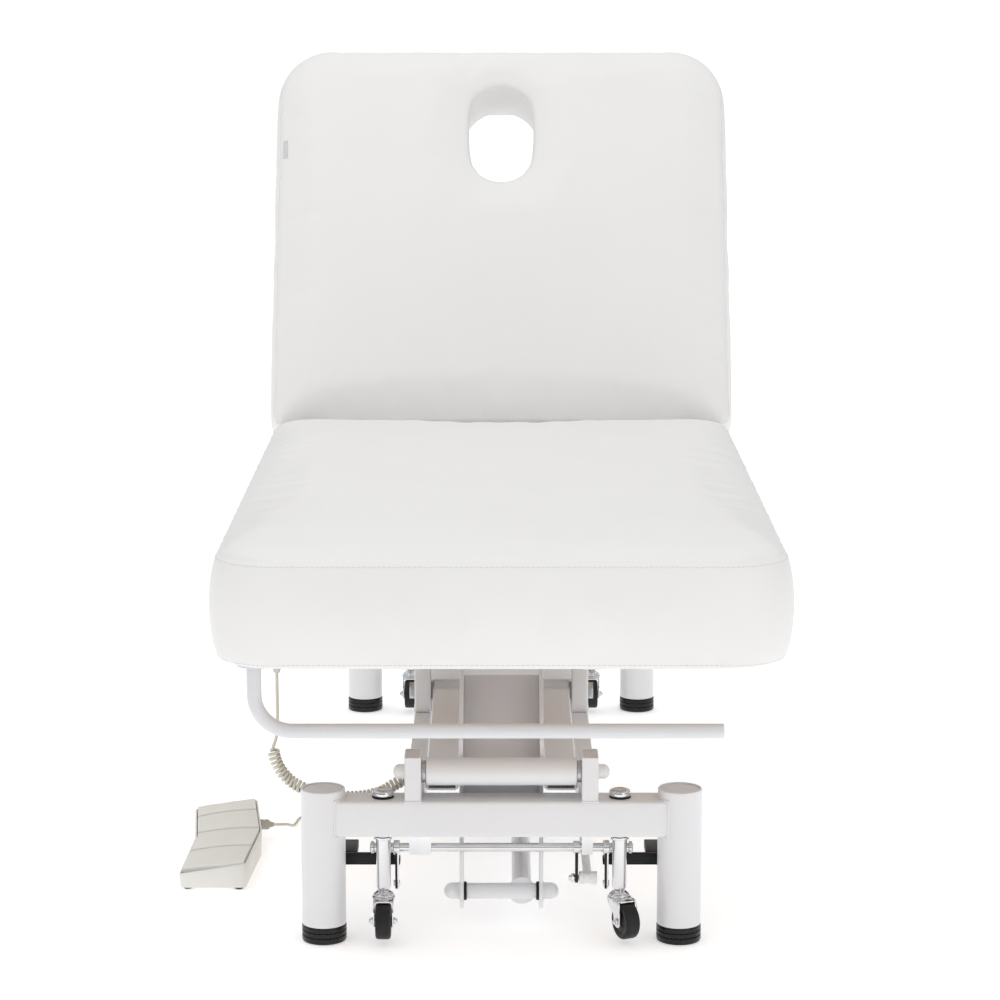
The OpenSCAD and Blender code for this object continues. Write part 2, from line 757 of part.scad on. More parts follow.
// The spare length, wound into a flat coil on the floor.
module control_lead_coil() {
    color("beige") place() translate([coil_at[0], coil_at[1], 0.05]) rotate_extrude()
        translate([coil_r - 1.5 * lead_d, 0]) square([3 * lead_d, 2 * lead_d]);
}

module curled_lead_drop() { color("beige") place() hose(drop_route, lead_d / 2, 8); }
module curled_lead_coil() { color("beige") place() hose(curl_route, curl_d / 2, 12); }

leg_posts();
tube_plugs();
rubber_feet();
end_beams();
base_rails();
pivot_uprights();
actuator_crossbar();
castor_bearings();
lower_pivot_bolts();
pivot_nut_caps();
front_lift_arms();
lead_clip();
crank_cheeks();
crank_web();
crank_bolt();
crank_caps();
rear_lift_arms();
push_rod();
lift_actuator();
frame_rails();
frame_crossbars();
drop_brackets();
upper_pivot_bolts();
hinge_ears();
seat_board();
seat_cushion();
paper_bar();
control_box();
back_actuator();
back_actuator_rod();
backrest_board();
backrest_cushion();
backrest_frame();
hinge_straps();
castor_shaft_front();
foot_bars();
castor_shaft_rear();
castor_link();
castor_stem_fl();
castor_stem_fr();
castor_stem_rl();
castor_stem_rr();
castor_fork_fl();
castor_fork_fr();
castor_fork_rl();
castor_fork_rr();
castor_wheel_fl();
castor_wheel_fr();
castor_wheel_rl();
castor_wheel_rr();
control_housing();
tread_1();
tread_2();
tread_3();
tread_4();
control_lead_in();
control_lead_out();
control_lead_coil();
curled_lead_drop();
curled_lead_coil();
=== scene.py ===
"""Looks of the electric facial treatment bed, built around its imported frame."""

import json
import math

import bmesh
import bpy
import numpy as np
from mathutils import Matrix, Vector
from mathutils.bvhtree import BVHTree


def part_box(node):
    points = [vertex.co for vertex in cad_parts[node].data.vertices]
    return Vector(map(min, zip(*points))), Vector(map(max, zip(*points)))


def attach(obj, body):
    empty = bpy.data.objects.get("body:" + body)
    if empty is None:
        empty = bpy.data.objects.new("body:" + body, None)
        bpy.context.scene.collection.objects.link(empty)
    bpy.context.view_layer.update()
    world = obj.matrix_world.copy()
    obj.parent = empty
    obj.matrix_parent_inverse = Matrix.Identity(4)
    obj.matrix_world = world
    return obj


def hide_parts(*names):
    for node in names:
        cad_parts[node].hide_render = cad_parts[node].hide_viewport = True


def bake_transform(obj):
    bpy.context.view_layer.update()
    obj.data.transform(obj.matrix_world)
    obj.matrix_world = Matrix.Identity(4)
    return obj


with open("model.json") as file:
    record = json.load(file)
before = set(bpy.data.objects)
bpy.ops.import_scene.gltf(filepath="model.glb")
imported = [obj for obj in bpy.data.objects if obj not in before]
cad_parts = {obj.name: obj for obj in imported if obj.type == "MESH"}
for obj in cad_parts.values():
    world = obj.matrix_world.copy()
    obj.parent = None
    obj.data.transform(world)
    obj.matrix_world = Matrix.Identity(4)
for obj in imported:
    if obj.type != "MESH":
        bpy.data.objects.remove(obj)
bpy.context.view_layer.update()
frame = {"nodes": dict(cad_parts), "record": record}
SLOT = {s["node"]: s["material_slot"] for s in frame["record"]["subparts"]}
BODY = {n: b for b, names in frame["record"]["behaviour"]["bodies"].items() for n in names}

# Everything below is in millimetres from the bed's own plan centre, as in the part's source.
MM = 0.001
posts_low, posts_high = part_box("leg_posts")
PLAN = Vector(((posts_low.x + posts_high.x) / 2, (posts_low.y + posts_high.y) / 2, 0))
TO_ROW = Matrix.Translation(PLAN) @ Matrix.Scale(MM, 4)
TO_BED = TO_ROW.inverted()


def at(x, y, z):
    """A point of the bed, in millimetres, as a point of the row frame in metres."""
    return TO_ROW @ Vector((x, y, z))


def measured(node):
    """Lowest and highest corner of a CAD node, in millimetres of the bed."""
    low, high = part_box(node)
    return TO_BED @ low, TO_BED @ high


# ---- Camera ----

camera_data = bpy.data.cameras.new("camera")
camera_data.lens = 108
camera_data.sensor_width = 36
camera = bpy.data.objects.new("camera", camera_data)
camera.location = at(-2, -4577.5, 1327)
camera.rotation_euler = (math.radians(90 - 10.3), 0, 0)
bpy.context.scene.collection.objects.link(camera)
bpy.context.scene.camera = camera

# ---- Materials ----


def node_of(tree, kind, **inputs):
    made = tree.nodes.new(kind)
    for name, value in inputs.items():
        made.inputs[name.replace("_", " ")].default_value = value
    return made


def material(name, colour, rough, metal=0.0, spread=0.02, patch=14, grain=700, depth=0.02, gloss=0.05,
             coat=0.0, stretch=(1, 1, 1), cells=0, sheen=0.0, specular=0.5):
    """Shader with uneven colour and gloss and a fine relief. patch, grain and cells are scales per
    metre, and depth is the relief in millimetres."""
    made = bpy.data.materials.new(name)
    made.use_nodes = True
    tree = made.node_tree
    link = tree.links.new
    shader = tree.nodes["Principled BSDF"]
    uniform = {"Metallic": metal, "Coat Weight": coat, "Coat Roughness": 0.15, "Sheen Weight": sheen,
               "Specular IOR Level": specular}
    for socket, value in uniform.items():
        shader.inputs[socket].default_value = value
    place = tree.nodes.new("ShaderNodeTexCoord")
    turn = node_of(tree, "ShaderNodeMapping", Scale=stretch)
    link(place.outputs["Object"], turn.inputs["Vector"])
    cloud = node_of(tree, "ShaderNodeTexNoise", Scale=patch, Detail=4.0, Roughness=0.6)
    link(turn.outputs["Vector"], cloud.inputs["Vector"])
    tint = tree.nodes.new("ShaderNodeValToRGB")
    for element, position, level in zip(tint.color_ramp.elements, (0.35, 0.65), (1 - spread, 1 + spread)):
        element.position = position
        element.color = [min(c * level, 1) for c in colour] + [1]
    link(cloud.outputs["Fac"], tint.inputs["Fac"])
    link(tint.outputs["Color"], shader.inputs["Base Color"])
    fine = node_of(tree, "ShaderNodeTexNoise", Scale=grain, Detail=3.0, Roughness=0.55)
    link(turn.outputs["Vector"], fine.inputs["Vector"])
    shine = node_of(tree, "ShaderNodeMapRange", From_Min=0.3, From_Max=0.7,
                    To_Min=max(rough - gloss, 0.02), To_Max=min(rough + gloss, 1))
    link(fine.outputs["Fac"], shine.inputs["Value"])
    link(shine.outputs["Result"], shader.inputs["Roughness"])
    bump = node_of(tree, "ShaderNodeBump", Strength=0.6, Distance=depth * MM)
    link(bump.outputs["Normal"], shader.inputs["Normal"])
    height = fine.outputs["Fac"]
    if cells:
        pebble = node_of(tree, "ShaderNodeTexVoronoi", Scale=cells, Randomness=1.0)
        link(turn.outputs["Vector"], pebble.inputs["Vector"])
        both = tree.nodes.new("ShaderNodeMath")
        both.operation = "ADD"
        link(pebble.outputs["Distance"], both.inputs[0])
        link(fine.outputs["Fac"], both.inputs[1])
        height = both.outputs["Value"]
    link(height, bump.inputs["Height"])
    return made


VINYL = material("white_vinyl", (0.815, 0.808, 0.795), 0.46, spread=0.008, patch=6, grain=420,
                 depth=0.045, cells=650, sheen=0.06)
THREAD = material("white_thread", (0.66, 0.655, 0.64), 0.7, spread=0.05, patch=300, grain=4000, depth=0.05)
WHITE = material("white_powder_coat", (0.82, 0.825, 0.84), 0.34, spread=0.012, patch=5, grain=480,
                 depth=0.03, coat=0.12)
# Painted shade: the crank web has the same white powder coat as its cheeks. Its darker, bluish grey stands
# in for the shade it sits in under the bed.
SHADED_WEB_PAINT = material("web_paint_with_painted_shade", (0.76, 0.765, 0.80), 0.38, patch=6, grain=500, depth=0.03)
GREY_CAP = material("grey_moulded_plastic", (0.73, 0.73, 0.75), 0.5, grain=1300, depth=0.05)
BLACK_RUBBER = material("black_foot_rubber", (0.012, 0.012, 0.013), 0.28, spread=0.2, patch=30, grain=500,
                        depth=0.03, gloss=0.1, specular=0.3)
TYRE = material("black_tyre", (0.014, 0.014, 0.015), 0.48, spread=0.25, patch=50, grain=900, depth=0.06,
                gloss=0.12, specular=0.3)
BLACK_STEEL = material("black_powder_coat", (0.010, 0.010, 0.011), 0.4, spread=0.2, grain=600, depth=0.04,
                       specular=0.3)
CHROME = material("chrome_plate", (0.72, 0.73, 0.745), 0.1, metal=1.0, spread=0.05, patch=20, grain=260,
                  depth=0.008, stretch=(1, 1, 0.15))
ZINC = material("zinc_plate", (0.50, 0.51, 0.53), 0.34, metal=1.0, spread=0.1, patch=60, grain=900,
                gloss=0.1)
NUT_CAP = material("white_nut_cap", (0.86, 0.86, 0.86), 0.3, spread=0.01, grain=900, coat=0.2)
IVORY = material("ivory_moulded_plastic", (0.83, 0.82, 0.775), 0.46, spread=0.012, patch=25, grain=1500,
                 depth=0.05, cells=1500)
# Painted shade: the lead gland is the same cream plastic as the housing. Its dark grey-beige stands in for
# the shade on the housing's right-hand face.
SHADED_IVORY = material("ivory_plastic_painted_shade", (0.42, 0.405, 0.34), 0.5, spread=0.03, grain=1200, depth=0.04)
SHEATH = material("beige_sheath", (0.68, 0.65, 0.55), 0.42, patch=60, grain=900, depth=0.03)
MOTOR = material("black_motor_plastic", (0.028, 0.028, 0.030), 0.45, spread=0.1, grain=1100, depth=0.06,
                 cells=1100)
BOX_PLASTIC = material("light_grey_plastic", (0.62, 0.62, 0.62), 0.5, grain=1200, depth=0.05)
PLYWOOD = material("plywood", (0.5, 0.34, 0.2), 0.6, spread=0.18, patch=9, grain=160, depth=0.08,
                   stretch=(9, 1, 14))
BAR_PAINT = material("grey_white_paint", (0.70, 0.705, 0.72), 0.3, spread=0.01, grain=400, depth=0.008,
                     gloss=0.03, coat=0.2)
TAG = material("woven_tag", (0.62, 0.62, 0.62), 0.8, spread=0.05, patch=400, grain=2600, depth=0.08)

# ---- Mesh tools ----


EDGE_ANGLE = math.radians(35)


def span(points):
    """Distance along a line, at each of its points."""
    return np.concatenate([[0], np.cumsum(np.linalg.norm(np.diff(points, axis=0), axis=1))])


def resampled(line, even):
    """Points of a line at the given distances along it."""
    along = span(line)
    return np.column_stack([np.interp(even, along, line[:, k]) for k in range(3)])


def smooth_path(points, step):
    """Even points, a step apart, along a smooth line through the given ones."""
    p = np.array(points, float)
    p = np.vstack([2 * p[0] - p[1], p, 2 * p[-1] - p[-2]])
    out = []
    for i in range(1, len(p) - 2):
        near = p[i - 1 : i + 3]
        knots = np.concatenate([[0], np.cumsum(np.sqrt(np.linalg.norm(np.diff(near, axis=0), axis=1)))])
        t = np.linspace(knots[1], knots[2], 12, endpoint=False)[:, None]
        level = list(near)
        for reach in (1, 2):
            level = [level[k] + (level[k + 1] - level[k]) * (t - knots[k]) / (knots[k + reach] - knots[k])
                     for k in range(len(level) - 1)]
        out.append(level[0] + (level[1] - level[0]) * (t - knots[1]) / (knots[2] - knots[1]))
    line = np.vstack([*out, p[-2]])
    total = span(line)[-1]
    return resampled(line, np.linspace(0, total, max(int(round(total / step)), 2) + 1))


def carried_axes(line, closed=False):
    """Two unit vectors across a line at each of its points, carried along it without twist."""
    if closed:
        heading = np.roll(line, -1, axis=0) - np.roll(line, 1, axis=0)
    else:
        heading = np.gradient(line, axis=0)
    heading /= np.linalg.norm(heading, axis=1)[:, None]
    side = np.cross(heading[0], [0.1, 0.2, 1.0])
    sides = []
    for h in heading:
        side = side - h * (side @ h)
        side /= np.linalg.norm(side)
        sides.append(side)
    sides = np.array(sides)
    return sides, np.cross(heading, sides)


def smooth_by_angle(mesh):
    mesh.polygons.foreach_set("use_smooth", [True] * len(mesh.polygons))
    mesh.set_sharp_from_angle(angle=EDGE_ANGLE)


def applied(obj):
    """Bakes the modifiers of obj into its mesh."""
    bpy.context.view_layer.update()
    graph = bpy.context.evaluated_depsgraph_get()
    made = bpy.data.meshes.new_from_object(obj.evaluated_get(graph))
    obj.modifiers.clear()
    obj.data = made
    return obj


def new_object(name, mesh, paint):
    made = bpy.data.objects.new(name, mesh)
    bpy.context.scene.collection.objects.link(made)
    mesh.materials.clear()
    mesh.materials.append(paint)
    return made


def settle(obj, nodes, body=None):
    """Rides a piece on the body of the CAD nodes that it stands for, or on a named body."""
    if nodes:
        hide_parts(*nodes)
    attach(obj, body or BODY[nodes[0]])
    return obj


class Shape:
    """Collects closed forms, in millimetres of the bed, into one piece."""

    def __init__(self):
        self.bm = bmesh.new()

    def add(self, points, faces, place=Matrix()):
        verts = [self.bm.verts.new(place @ Vector(p)) for p in points]
        for face in faces:
            self.bm.faces.new([verts[i] for i in face])

    def loft(self, rings, place=Matrix(), closed=False):
        """Skin through rings with the same number of points, capped at both ends unless closed."""
        n = len(rings[0])
        last = len(rings) - 1
        faces = []
        for r in range(len(rings) if closed else last):
            a, b = r * n, (r + 1) % len(rings) * n
            faces += [[a + k, a + (k + 1) % n, b + (k + 1) % n, b + k] for k in range(n)]
        if not closed:
            faces += [list(range(n))[::-1], [last * n + k for k in range(n)]]
        self.add([p for ring in rings for p in ring], faces, place)

    def lathe(self, profile, place=Matrix(), steps=48, closed=False):
        """profile is (radius, height) points round the local Z axis."""
        turns = [2 * math.pi * k / steps for k in range(steps)]
        rings = [[(r * math.cos(a), r * math.sin(a), z) for a in turns] for r, z in profile]
        self.loft(rings, place, closed)

    def prism(self, outline, low, high, place=Matrix()):
        self.loft([[(x, y, z) for x, y in outline] for z in (low, high)], place)

    def block(self, low, high, place=Matrix()):
        corners = [(low[0], low[1]), (high[0], low[1]), (high[0], high[1]), (low[0], high[1])]
        self.prism(corners, low[2], high[2], place)

    def tube(self, line, radius, sides=12, closed=False):
        """Round bar along a line. radius is one number, or one for each point."""
        line = np.array(line, float)
        radii = np.broadcast_to(radius, len(line))
        u, v = carried_axes(line, closed)
        turns = [2 * math.pi * k / sides for k in range(sides)]
        self.loft([[p + r * (math.cos(a) * x + math.sin(a) * y) for a in turns]
                   for p, r, x, y in zip(line, radii, u, v)], closed=closed)

    def steel(self, low, high, axis, corner=3.0, wall=2.5):
        """Square or flat steel tube with rounded corners, open along an axis: 0 for X, 1 for Y, 2 for Z."""
        self.loft([section(low, high, axis, end[axis], max(corner - inset, 0.6), 5, inset)
                   for inset, end in ((0, low), (0, high), (wall, high), (wall, low))], closed=True)

    def weld(self, line, radius=1.7):
        """Rippled bead along a closed line."""
        loop = smooth_loop(np.array(line, float), 1.6)
        ripple = radius * (1 + 0.10 * np.sin(np.arange(len(loop)) * 1.9))
        self.tube(loop, ripple, 7, closed=True)

    def loose(self, name, paint, bevel=0.6, place=Matrix()):
        """The shape as an object that rides on nothing yet."""
        return from_bmesh(self.bm, name, paint, bevel, TO_ROW @ place)

    def piece(self, name, nodes, paint, bevel=0.6, body=None, slot=None, place=Matrix()):
        made = settle(self.loose(name, paint, bevel, place), nodes, body)
        return made


def from_bmesh(bm, name, paint, bevel, place=Matrix()):
    """An object made from bm, which is freed, with its sharp edges rounded."""
    bmesh.ops.recalc_face_normals(bm, faces=bm.faces)
    bmesh.ops.transform(bm, matrix=place, verts=bm.verts)
    mesh = bpy.data.meshes.new(name)
    bm.to_mesh(mesh)
    bm.free()
    made = new_object(name, mesh, paint)
    if bevel:
        rounding = made.modifiers.new("bevel", "BEVEL")
        rounding.width = bevel * MM
        rounding.segments = 2
        rounding.limit_method = "ANGLE"
        rounding.angle_limit = EDGE_ANGLE
        applied(made)
    smooth_by_angle(made.data)
    return made


def section(low, high, axis, level, corner, steps, inset=0):
    """Rounded outline of a box's section across an axis, at a level along it."""
    across = [k for k in range(3) if k != axis]
    near, far = [low[k] + inset for k in across], [high[k] - inset for k in across]
    out = []
    for a, b in rounded_rectangle(near, far, corner, steps):
        point = [level] * 3
        point[across[0]], point[across[1]] = a, b
        out.append(tuple(point))
    return out


def rounded_rectangle(low, high, radius, steps=6):
    """Outline of a rectangle with round corners, counter-clockwise."""
    centres = [(high[0] - radius, high[1] - radius), (low[0] + radius, high[1] - radius),
               (low[0] + radius, low[1] + radius), (high[0] - radius, low[1] + radius)]
    out = []
    for k, (x, y) in enumerate(centres):
        for i in range(steps + 1):
            a = math.pi / 2 * (k + i / steps)
            out.append((x + radius * math.cos(a), y + radius * math.sin(a)))
    return out


def smooth_loop(line, step):
    """Even points round a closed line."""
    closed = np.vstack([line, line[:1]])
    total = span(closed)[-1]
    return resampled(closed, np.linspace(0, total, max(int(total / step), 8), endpoint=False))


def joined(node):
    """A CAD node's mesh with its shared corners joined, for editing."""
    bm = bmesh.new()
    bm.from_mesh(frame["nodes"][node].data)
    bmesh.ops.remove_doubles(bm, verts=bm.verts, dist=5e-6)
    return bm


def solids(node):
    """Lowest and highest corner of each separate solid of a CAD node, in millimetres of the bed."""
    bm = joined(node)
    seen, out = set(), []
    for start in bm.verts:
        if start in seen:
            continue
        seen.add(start)
        queue, found = [start], []
        while queue:
            v = queue.pop()
            found.append(TO_BED @ v.co)
            for e in v.link_edges:
                w = e.other_vert(v)
                if w not in seen:
                    seen.add(w)
                    queue.append(w)
        co = np.array(found)
        out.append((co.min(0), co.max(0)))
    bm.free()
    return sorted(out, key=lambda b: tuple(np.round(b[0], 1)))


def dress_all(*rows):
    """CAD nodes' own shapes with rounded edges, as new pieces. A row is (node, paint, bevel)."""
    for node, paint, bevel in rows:
        bm = joined(node)
        bmesh.ops.dissolve_limit(bm, angle_limit=math.radians(0.4), verts=bm.verts, edges=bm.edges)
        settle(from_bmesh(bm, node + "_finished", paint, bevel), [node])


def middle(low, high):
    """Centre of a box."""
    return [(a + b) / 2 for a, b in zip(low, high)]


def standing(x, y):
    """Placement on the floor at x, y."""
    return Matrix.Translation((x, y, 0))


def border(nx, ny):
    """Grid cells round the edge of a grid, from its first corner."""
    ring = [(i, 0) for i in range(nx - 1)] + [(nx - 1, j) for j in range(ny - 1)]
    return ring + [(i, ny - 1) for i in range(nx - 1, 0, -1)] + [(0, j) for j in range(ny - 1, 0, -1)]


def bands(loops):
    """Four-sided faces between each loop and the next one."""
    return [[a[k], b[k], b[(k + 1) % len(a)], a[(k + 1) % len(a)]]
            for a, b in zip(loops, loops[1:]) for k in range(len(a))]


def along_x(x, y, z):
    """Placement whose local Z axis points along +X."""
    return Matrix.Translation((x, y, z)) @ Matrix.Rotation(math.pi / 2, 4, "Y")


def rod(radius, length, edge=0.8):
    """Profile of a round bar with chamfered ends, from height 0."""
    return [(radius - edge, 0), (radius, edge), (radius, length - edge), (radius - edge, length)]


def dome(radius, height):
    """Profile of a domed cap that stands on height 0."""
    skirt = height * 0.45
    return [(radius - 0.5, 0), (radius, 0.5), (radius, skirt)] + [
        (radius * math.cos(a), skirt + (height - skirt) * math.sin(a))
        for a in [math.pi / 2 * k / 9 for k in range(1, 9)]]


def hexagon(radius, height):
    """Rings of a hexagonal nut with chamfered faces, from height 0."""
    corner = [(math.cos(math.pi / 3 * k), math.sin(math.pi / 3 * k)) for k in range(6)]
    return [[(r * x, r * y, z) for x, y in corner] for r, z in rod(radius, height, 0.6)]


# ---- Leads ----

LEAD_R = 2.25
CONTROL_IN = [
    (-346, -174, 25), (-336, -174, 25), (-328, -167, 23), (-323, -150, 17), (-320, -122, 8),
    (-318, -92, 3), (-314, -64, 2.3), (-302, -46, 2.3), (-284, -44, 2.3), (-266, -56, 2.3),
    (-246, -74, 2.3), (-222, -85, 2.3), (-200, -88, 2.3)]
CONTROL_OUT = [
    (-161, -52, 6.8), (-157, -34, 4.5), (-150, -18, 2.5), (-140, -4, 2.6), (-129, 6, 5),
    (-122, 9.5, 14), (-119, 10, 30), (-118.5, 10, 70), (-118.5, 10, 110), (-118.5, 10, 145)]
COIL_AT = (-190, -60)
DROP = [(-309, -560, 356), (-309, -560, 320), (-309, -560, 290), (-310, -560, 268), (-316, -560, 248)]
CURL = [
    (-316, -560, 248), (-312, -560, 231), (-303, -561, 214), (-291, -563, 202), (-276, -567, 194),
    (-256, -572, 188), (-234, -578, 185), (-210, -584, 185), (-186, -588, 188), (-164, -591, 195),
    (-146, -592, 206), (-131, -592, 214), (-119, -592, 218.5), (-108.4, -592, 218.5)]


def stored_coil():
    """The spare lead, wound inwards on the floor, up a layer, and outwards again."""
    entry = math.atan2(CONTROL_IN[-1][1] - COIL_AT[1], CONTROL_IN[-1][0] - COIL_AT[0])
    leave = math.atan2(CONTROL_OUT[0][1] - COIL_AT[1], CONTROL_OUT[0][0] - COIL_AT[0])
    wire = 2 * LEAD_R
    turns = 5 + (leave - entry) / (2 * math.pi)
    out = []
    for t in np.arange(1 / 24, turns - 1 / 48, 1 / 24):
        climb = min(max(t - 2, 0), 1)
        radius = 29.5 - wire * min(t, 2) - climb + wire * max(t - 3, 0)
        height = 2.3 + wire * math.sqrt(2 * climb - climb * climb)
        a = entry + 2 * math.pi * t
        out.append((COIL_AT[0] + radius * math.cos(a), COIL_AT[1] + radius * math.sin(a), height))
    return out


def curly_line():
    """The drop from the control box, then the helix round the curled stretch's own line."""
    drop = smooth_path(DROP, 3)
    middle = smooth_path(CURL, 0.4)
    u, v = carried_axes(middle)
    along = np.linspace(0, 0.4 * (len(middle) - 1), len(middle))
    pitch, radius = 6.1, 6.75
    ramp = np.clip(np.minimum(along, along[-1] - along) / (0.8 * pitch), 0, 1)
    ramp = ramp * ramp * (3 - 2 * ramp)
    turn = 2 * math.pi * along / pitch
    helix = middle + radius * ramp[:, None] * (np.cos(turn)[:, None] * u + np.sin(turn)[:, None] * v)
    return np.vstack([drop[:-1], helix])


def lead(name, line):
    shape = Shape()
    shape.tube(line, LEAD_R)
    return shape.loose(name, SHEATH, bevel=0)


def hug_tie(name):
    """Strap round the stored coil, on its side away from the lead's ends."""
    shape = Shape()
    a = math.radians(100)
    out = Vector((math.cos(a), math.sin(a), 0))
    centre = Vector((*COIL_AT, 0)) + out * 24.6
    outlines = (rounded_rectangle((-8.2, 0.55), (8.2, 10.2), 2, 4),
                rounded_rectangle((-8.9, 0.05), (8.9, 10.9), 2.4, 4))
    inner, outer = ([centre + out * x + Vector((0, 0, z)) for x, z in outline] for outline in outlines)
    side = Vector((-math.sin(a), math.cos(a), 0)) * 2.4
    shape.loft([[p - side for p in outer], [p + side for p in outer], [p + side for p in inner],
                [p - side for p in inner]], closed=True)
    shape.block((-2.2, -2, 0), (2.2, 2, 3), Matrix.Translation(centre + Vector((0, 0, 10.6))))
    return shape.piece(name, [], BLACK_RUBBER, bevel=0.25, body="base", slot="lead_sheath")


control_line = smooth_path(CONTROL_IN + stored_coil() + CONTROL_OUT, 2.2)
control_lead = lead("foot_control_lead", control_line)
settle(control_lead, ["control_lead_in", "control_lead_coil", "control_lead_out"])
tie = hug_tie("lead_tie")

curly = curly_line()
curly_lead = lead("curly_lead", curly)
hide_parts("curled_lead_drop", "curled_lead_coil")
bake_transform(curly_lead)

# ---- Upholstery ----

deck = measured("frame_rails")[1].z
# CROWN is the CAD cushion's rise over its seam, and the other sizes are the upholstery's own.
CROWN = 17
GROOVE = 1.8
SEAM_INSET = 5
BULGE = 10.5
WRAP = 33
ROLL = 15
LINING_FLARE = 10.5
LINING_FOOT = 11.5
SWELL_CAP = 0.005


def distance_inside(x, y, low, high, front_radius, rear_radius):
    """How far a point is inside an outline with its own corner radius at each end."""
    radius = np.where(y < (low[1] + high[1]) / 2, front_radius, rear_radius)
    cx, cy = (low[0] + high[0]) / 2, (low[1] + high[1]) / 2
    qx = np.abs(x - cx) - (high[0] - low[0]) / 2 + radius
    qy = np.abs(y - cy) - (high[1] - low[1]) / 2 + radius
    return -(np.hypot(np.maximum(qx, 0), np.maximum(qy, 0)) + np.minimum(np.maximum(qx, qy), 0) - radius)


def graded(low, high, step=10.5):
    """Grid lines from low to high, close together at both ends."""
    close = [0, 2.2, 5, 9.5, 17]
    count = int((high - low - 2 * close[-1]) / step)
    even = np.linspace(low + close[-1], high - close[-1], count + 1)
    return np.concatenate([[low + c for c in close[:-1]], even, [high - c for c in close[:-1]][::-1]])


class Cushion:
    """A padded block with a crowned top panel, a boxing strip and a wrapped underside, built level."""

    def __init__(self, name, low, high, front_radius, rear_radius, hole=None, front_slope=0, flare=0):
        self.name, self.low, self.high, self.flare = name, low, high, flare
        self.radii = (front_radius, rear_radius)
        self.hole, self.front_slope = hole, front_slope
        self.points, self.faces, self.pins = [], [], []
        self.unused = set()
        self.build()

    def fitted(self, x, y, inset):
        """Moves grid points so that the grid's edge becomes the outline, drawn in by inset."""
        cx, cy, _ = middle(self.low, self.high)
        wide, long = (self.high[0] - self.low[0]) / 2, (self.high[1] - self.low[1]) / 2
        radius = np.where(y < cy, self.radii[0], self.radii[1]).astype(float)
        u, v = (np.abs(x - cx) - wide + radius) / radius, (np.abs(y - cy) - long + radius) / radius
        corner = (u > 0) & (v > 0)
        size = np.where(corner, np.hypot(u, v), 1)
        pull = np.where(corner, np.maximum(u, v) / np.maximum(size, 1e-9), 1)
        fx = np.where(corner, wide - radius + radius * u * pull, np.abs(x - cx))
        fy = np.where(corner, long - radius + radius * v * pull, np.abs(y - cy))
        joint_end = radius == min(self.radii)
        fx = fx * (wide - inset) / wide
        fy = fy * (long - np.where(joint_end, max(inset, 1.5), inset)) / long
        y = cy + np.sign(y - cy) * fy
        widen = 1 + self.flare / wide * np.clip((self.high[1] - y) / (2 * long), 0, 1) ** 1.5
        return cx + np.sign(x - cx) * fx * widen, y

    def hole_outline(self, phi, grow):
        """Point of the hole's outline in direction phi, from its centre."""
        half_w, half_l = self.hole[1] / 2 + grow, self.hole[2] / 2 + grow
        straight = (half_l - half_w) * np.clip(2.5 * np.sin(phi), -1, 1)
        return half_w * np.cos(phi), half_w * np.sin(phi) + straight

    def opened(self, x, y, grow):
        """Moves grid points round the hole so that its edge follows the outline, grown by grow."""
        reach = 1.75
        u, v = x / self.cells[0], (y - self.hole[0]) / self.cells[1]
        m = np.maximum(np.abs(u), np.abs(v))
        k = np.clip((m - 1) / (reach - 1), 0, 1)
        k = k * k * (3 - 2 * k)
        hx, hy = self.hole_outline(np.arctan2(v, u), grow)
        hx, hy = hx * np.maximum(m, 1), hy * np.maximum(m, 1) + self.hole[0]
        return np.where(m < reach, (1 - k) * hx + k * x, x), np.where(m < reach, (1 - k) * hy + k * y, y)

    def relaxed(self, x, y, i0, i1, j0, j1):
        """Evens out the grid round the hole without moving its edge."""
        free = np.zeros(x.shape, bool)
        free[j0 - 6 : min(j1 + 7, len(x) - 5), i0 - 6 : i1 + 7] = True
        free[j0 : j1 + 1, i0 : i1 + 1] = False
        for _ in range(60):
            for a in (x, y):
                mean = (np.roll(a, 1, 0) + np.roll(a, -1, 0) + np.roll(a, 1, 1) + np.roll(a, -1, 1)) / 4
                a[free] = mean[free]
        return x.ravel(), y.ravel()

    def panel(self, inset, grow, height):
        """Adds a panel and returns its edge loop and the loop round its hole."""
        xs, ys = (graded(self.low[k], self.high[k]) for k in (0, 1))
        nx, ny = len(xs), len(ys)
        removed = set()
        inner = []
        if self.hole:
            i0, i1 = (int(np.abs(xs - s * self.hole[1] / 2).argmin()) for s in (-1, 1))
            j0, j1 = (int(np.abs(ys - self.hole[0] - s * self.hole[2] / 2).argmin()) for s in (-1, 1))
            self.cells = ((xs[i1] - xs[i0]) / 2, (ys[j1] - ys[j0]) / 2)
            shift = self.hole[0] - (ys[j1] + ys[j0]) / 2
            removed = {(i, j) for i in range(i0, i1) for j in range(j0, j1)}
            ys = ys + np.interp(ys, [ys[0], ys[j0], ys[j1], ys[-1]], [0, shift, shift, 0])
            inner = [(i0 + i, j0 + j) for i, j in border(i1 - i0 + 1, j1 - j0 + 1)]
        fx, fy = self.fitted(*(a.ravel() for a in np.meshgrid(xs, ys)), inset)
        if self.hole:
            fx, fy = self.opened(fx, fy, grow)
            fx, fy = self.relaxed(fx.reshape(ny, nx), fy.reshape(ny, nx), i0, i1, j0, j1)
        start = len(self.points)
        z = height(fx, fy)
        self.points += list(zip(fx, fy, z))
        for j in range(ny - 1):
            for i in range(nx - 1):
                if (i, j) not in removed:
                    a = start + j * nx + i
                    self.faces.append([a, a + 1, a + nx + 1, a + nx])
        self.unused |= {start + j * nx + i for i in range(nx) for j in range(ny)
                        if all((i + a, j + b) in removed for a in (-1, 0) for b in (-1, 0))}
        return [[start + j * nx + i for i, j in cells] for cells in (border(nx, ny), inner)]

    def strip(self, loop, rows, end):
        """Adds rings below a loop, and joins the last one to the loop end. Returns all the loops."""
        loops = [loop]
        for row in rows:
            start = len(self.points)
            self.points += [tuple(p) for p in row]
            loops.append(list(range(start, start + len(loop))))
        loops.append(end)
        self.faces += bands(loops)
        return loops

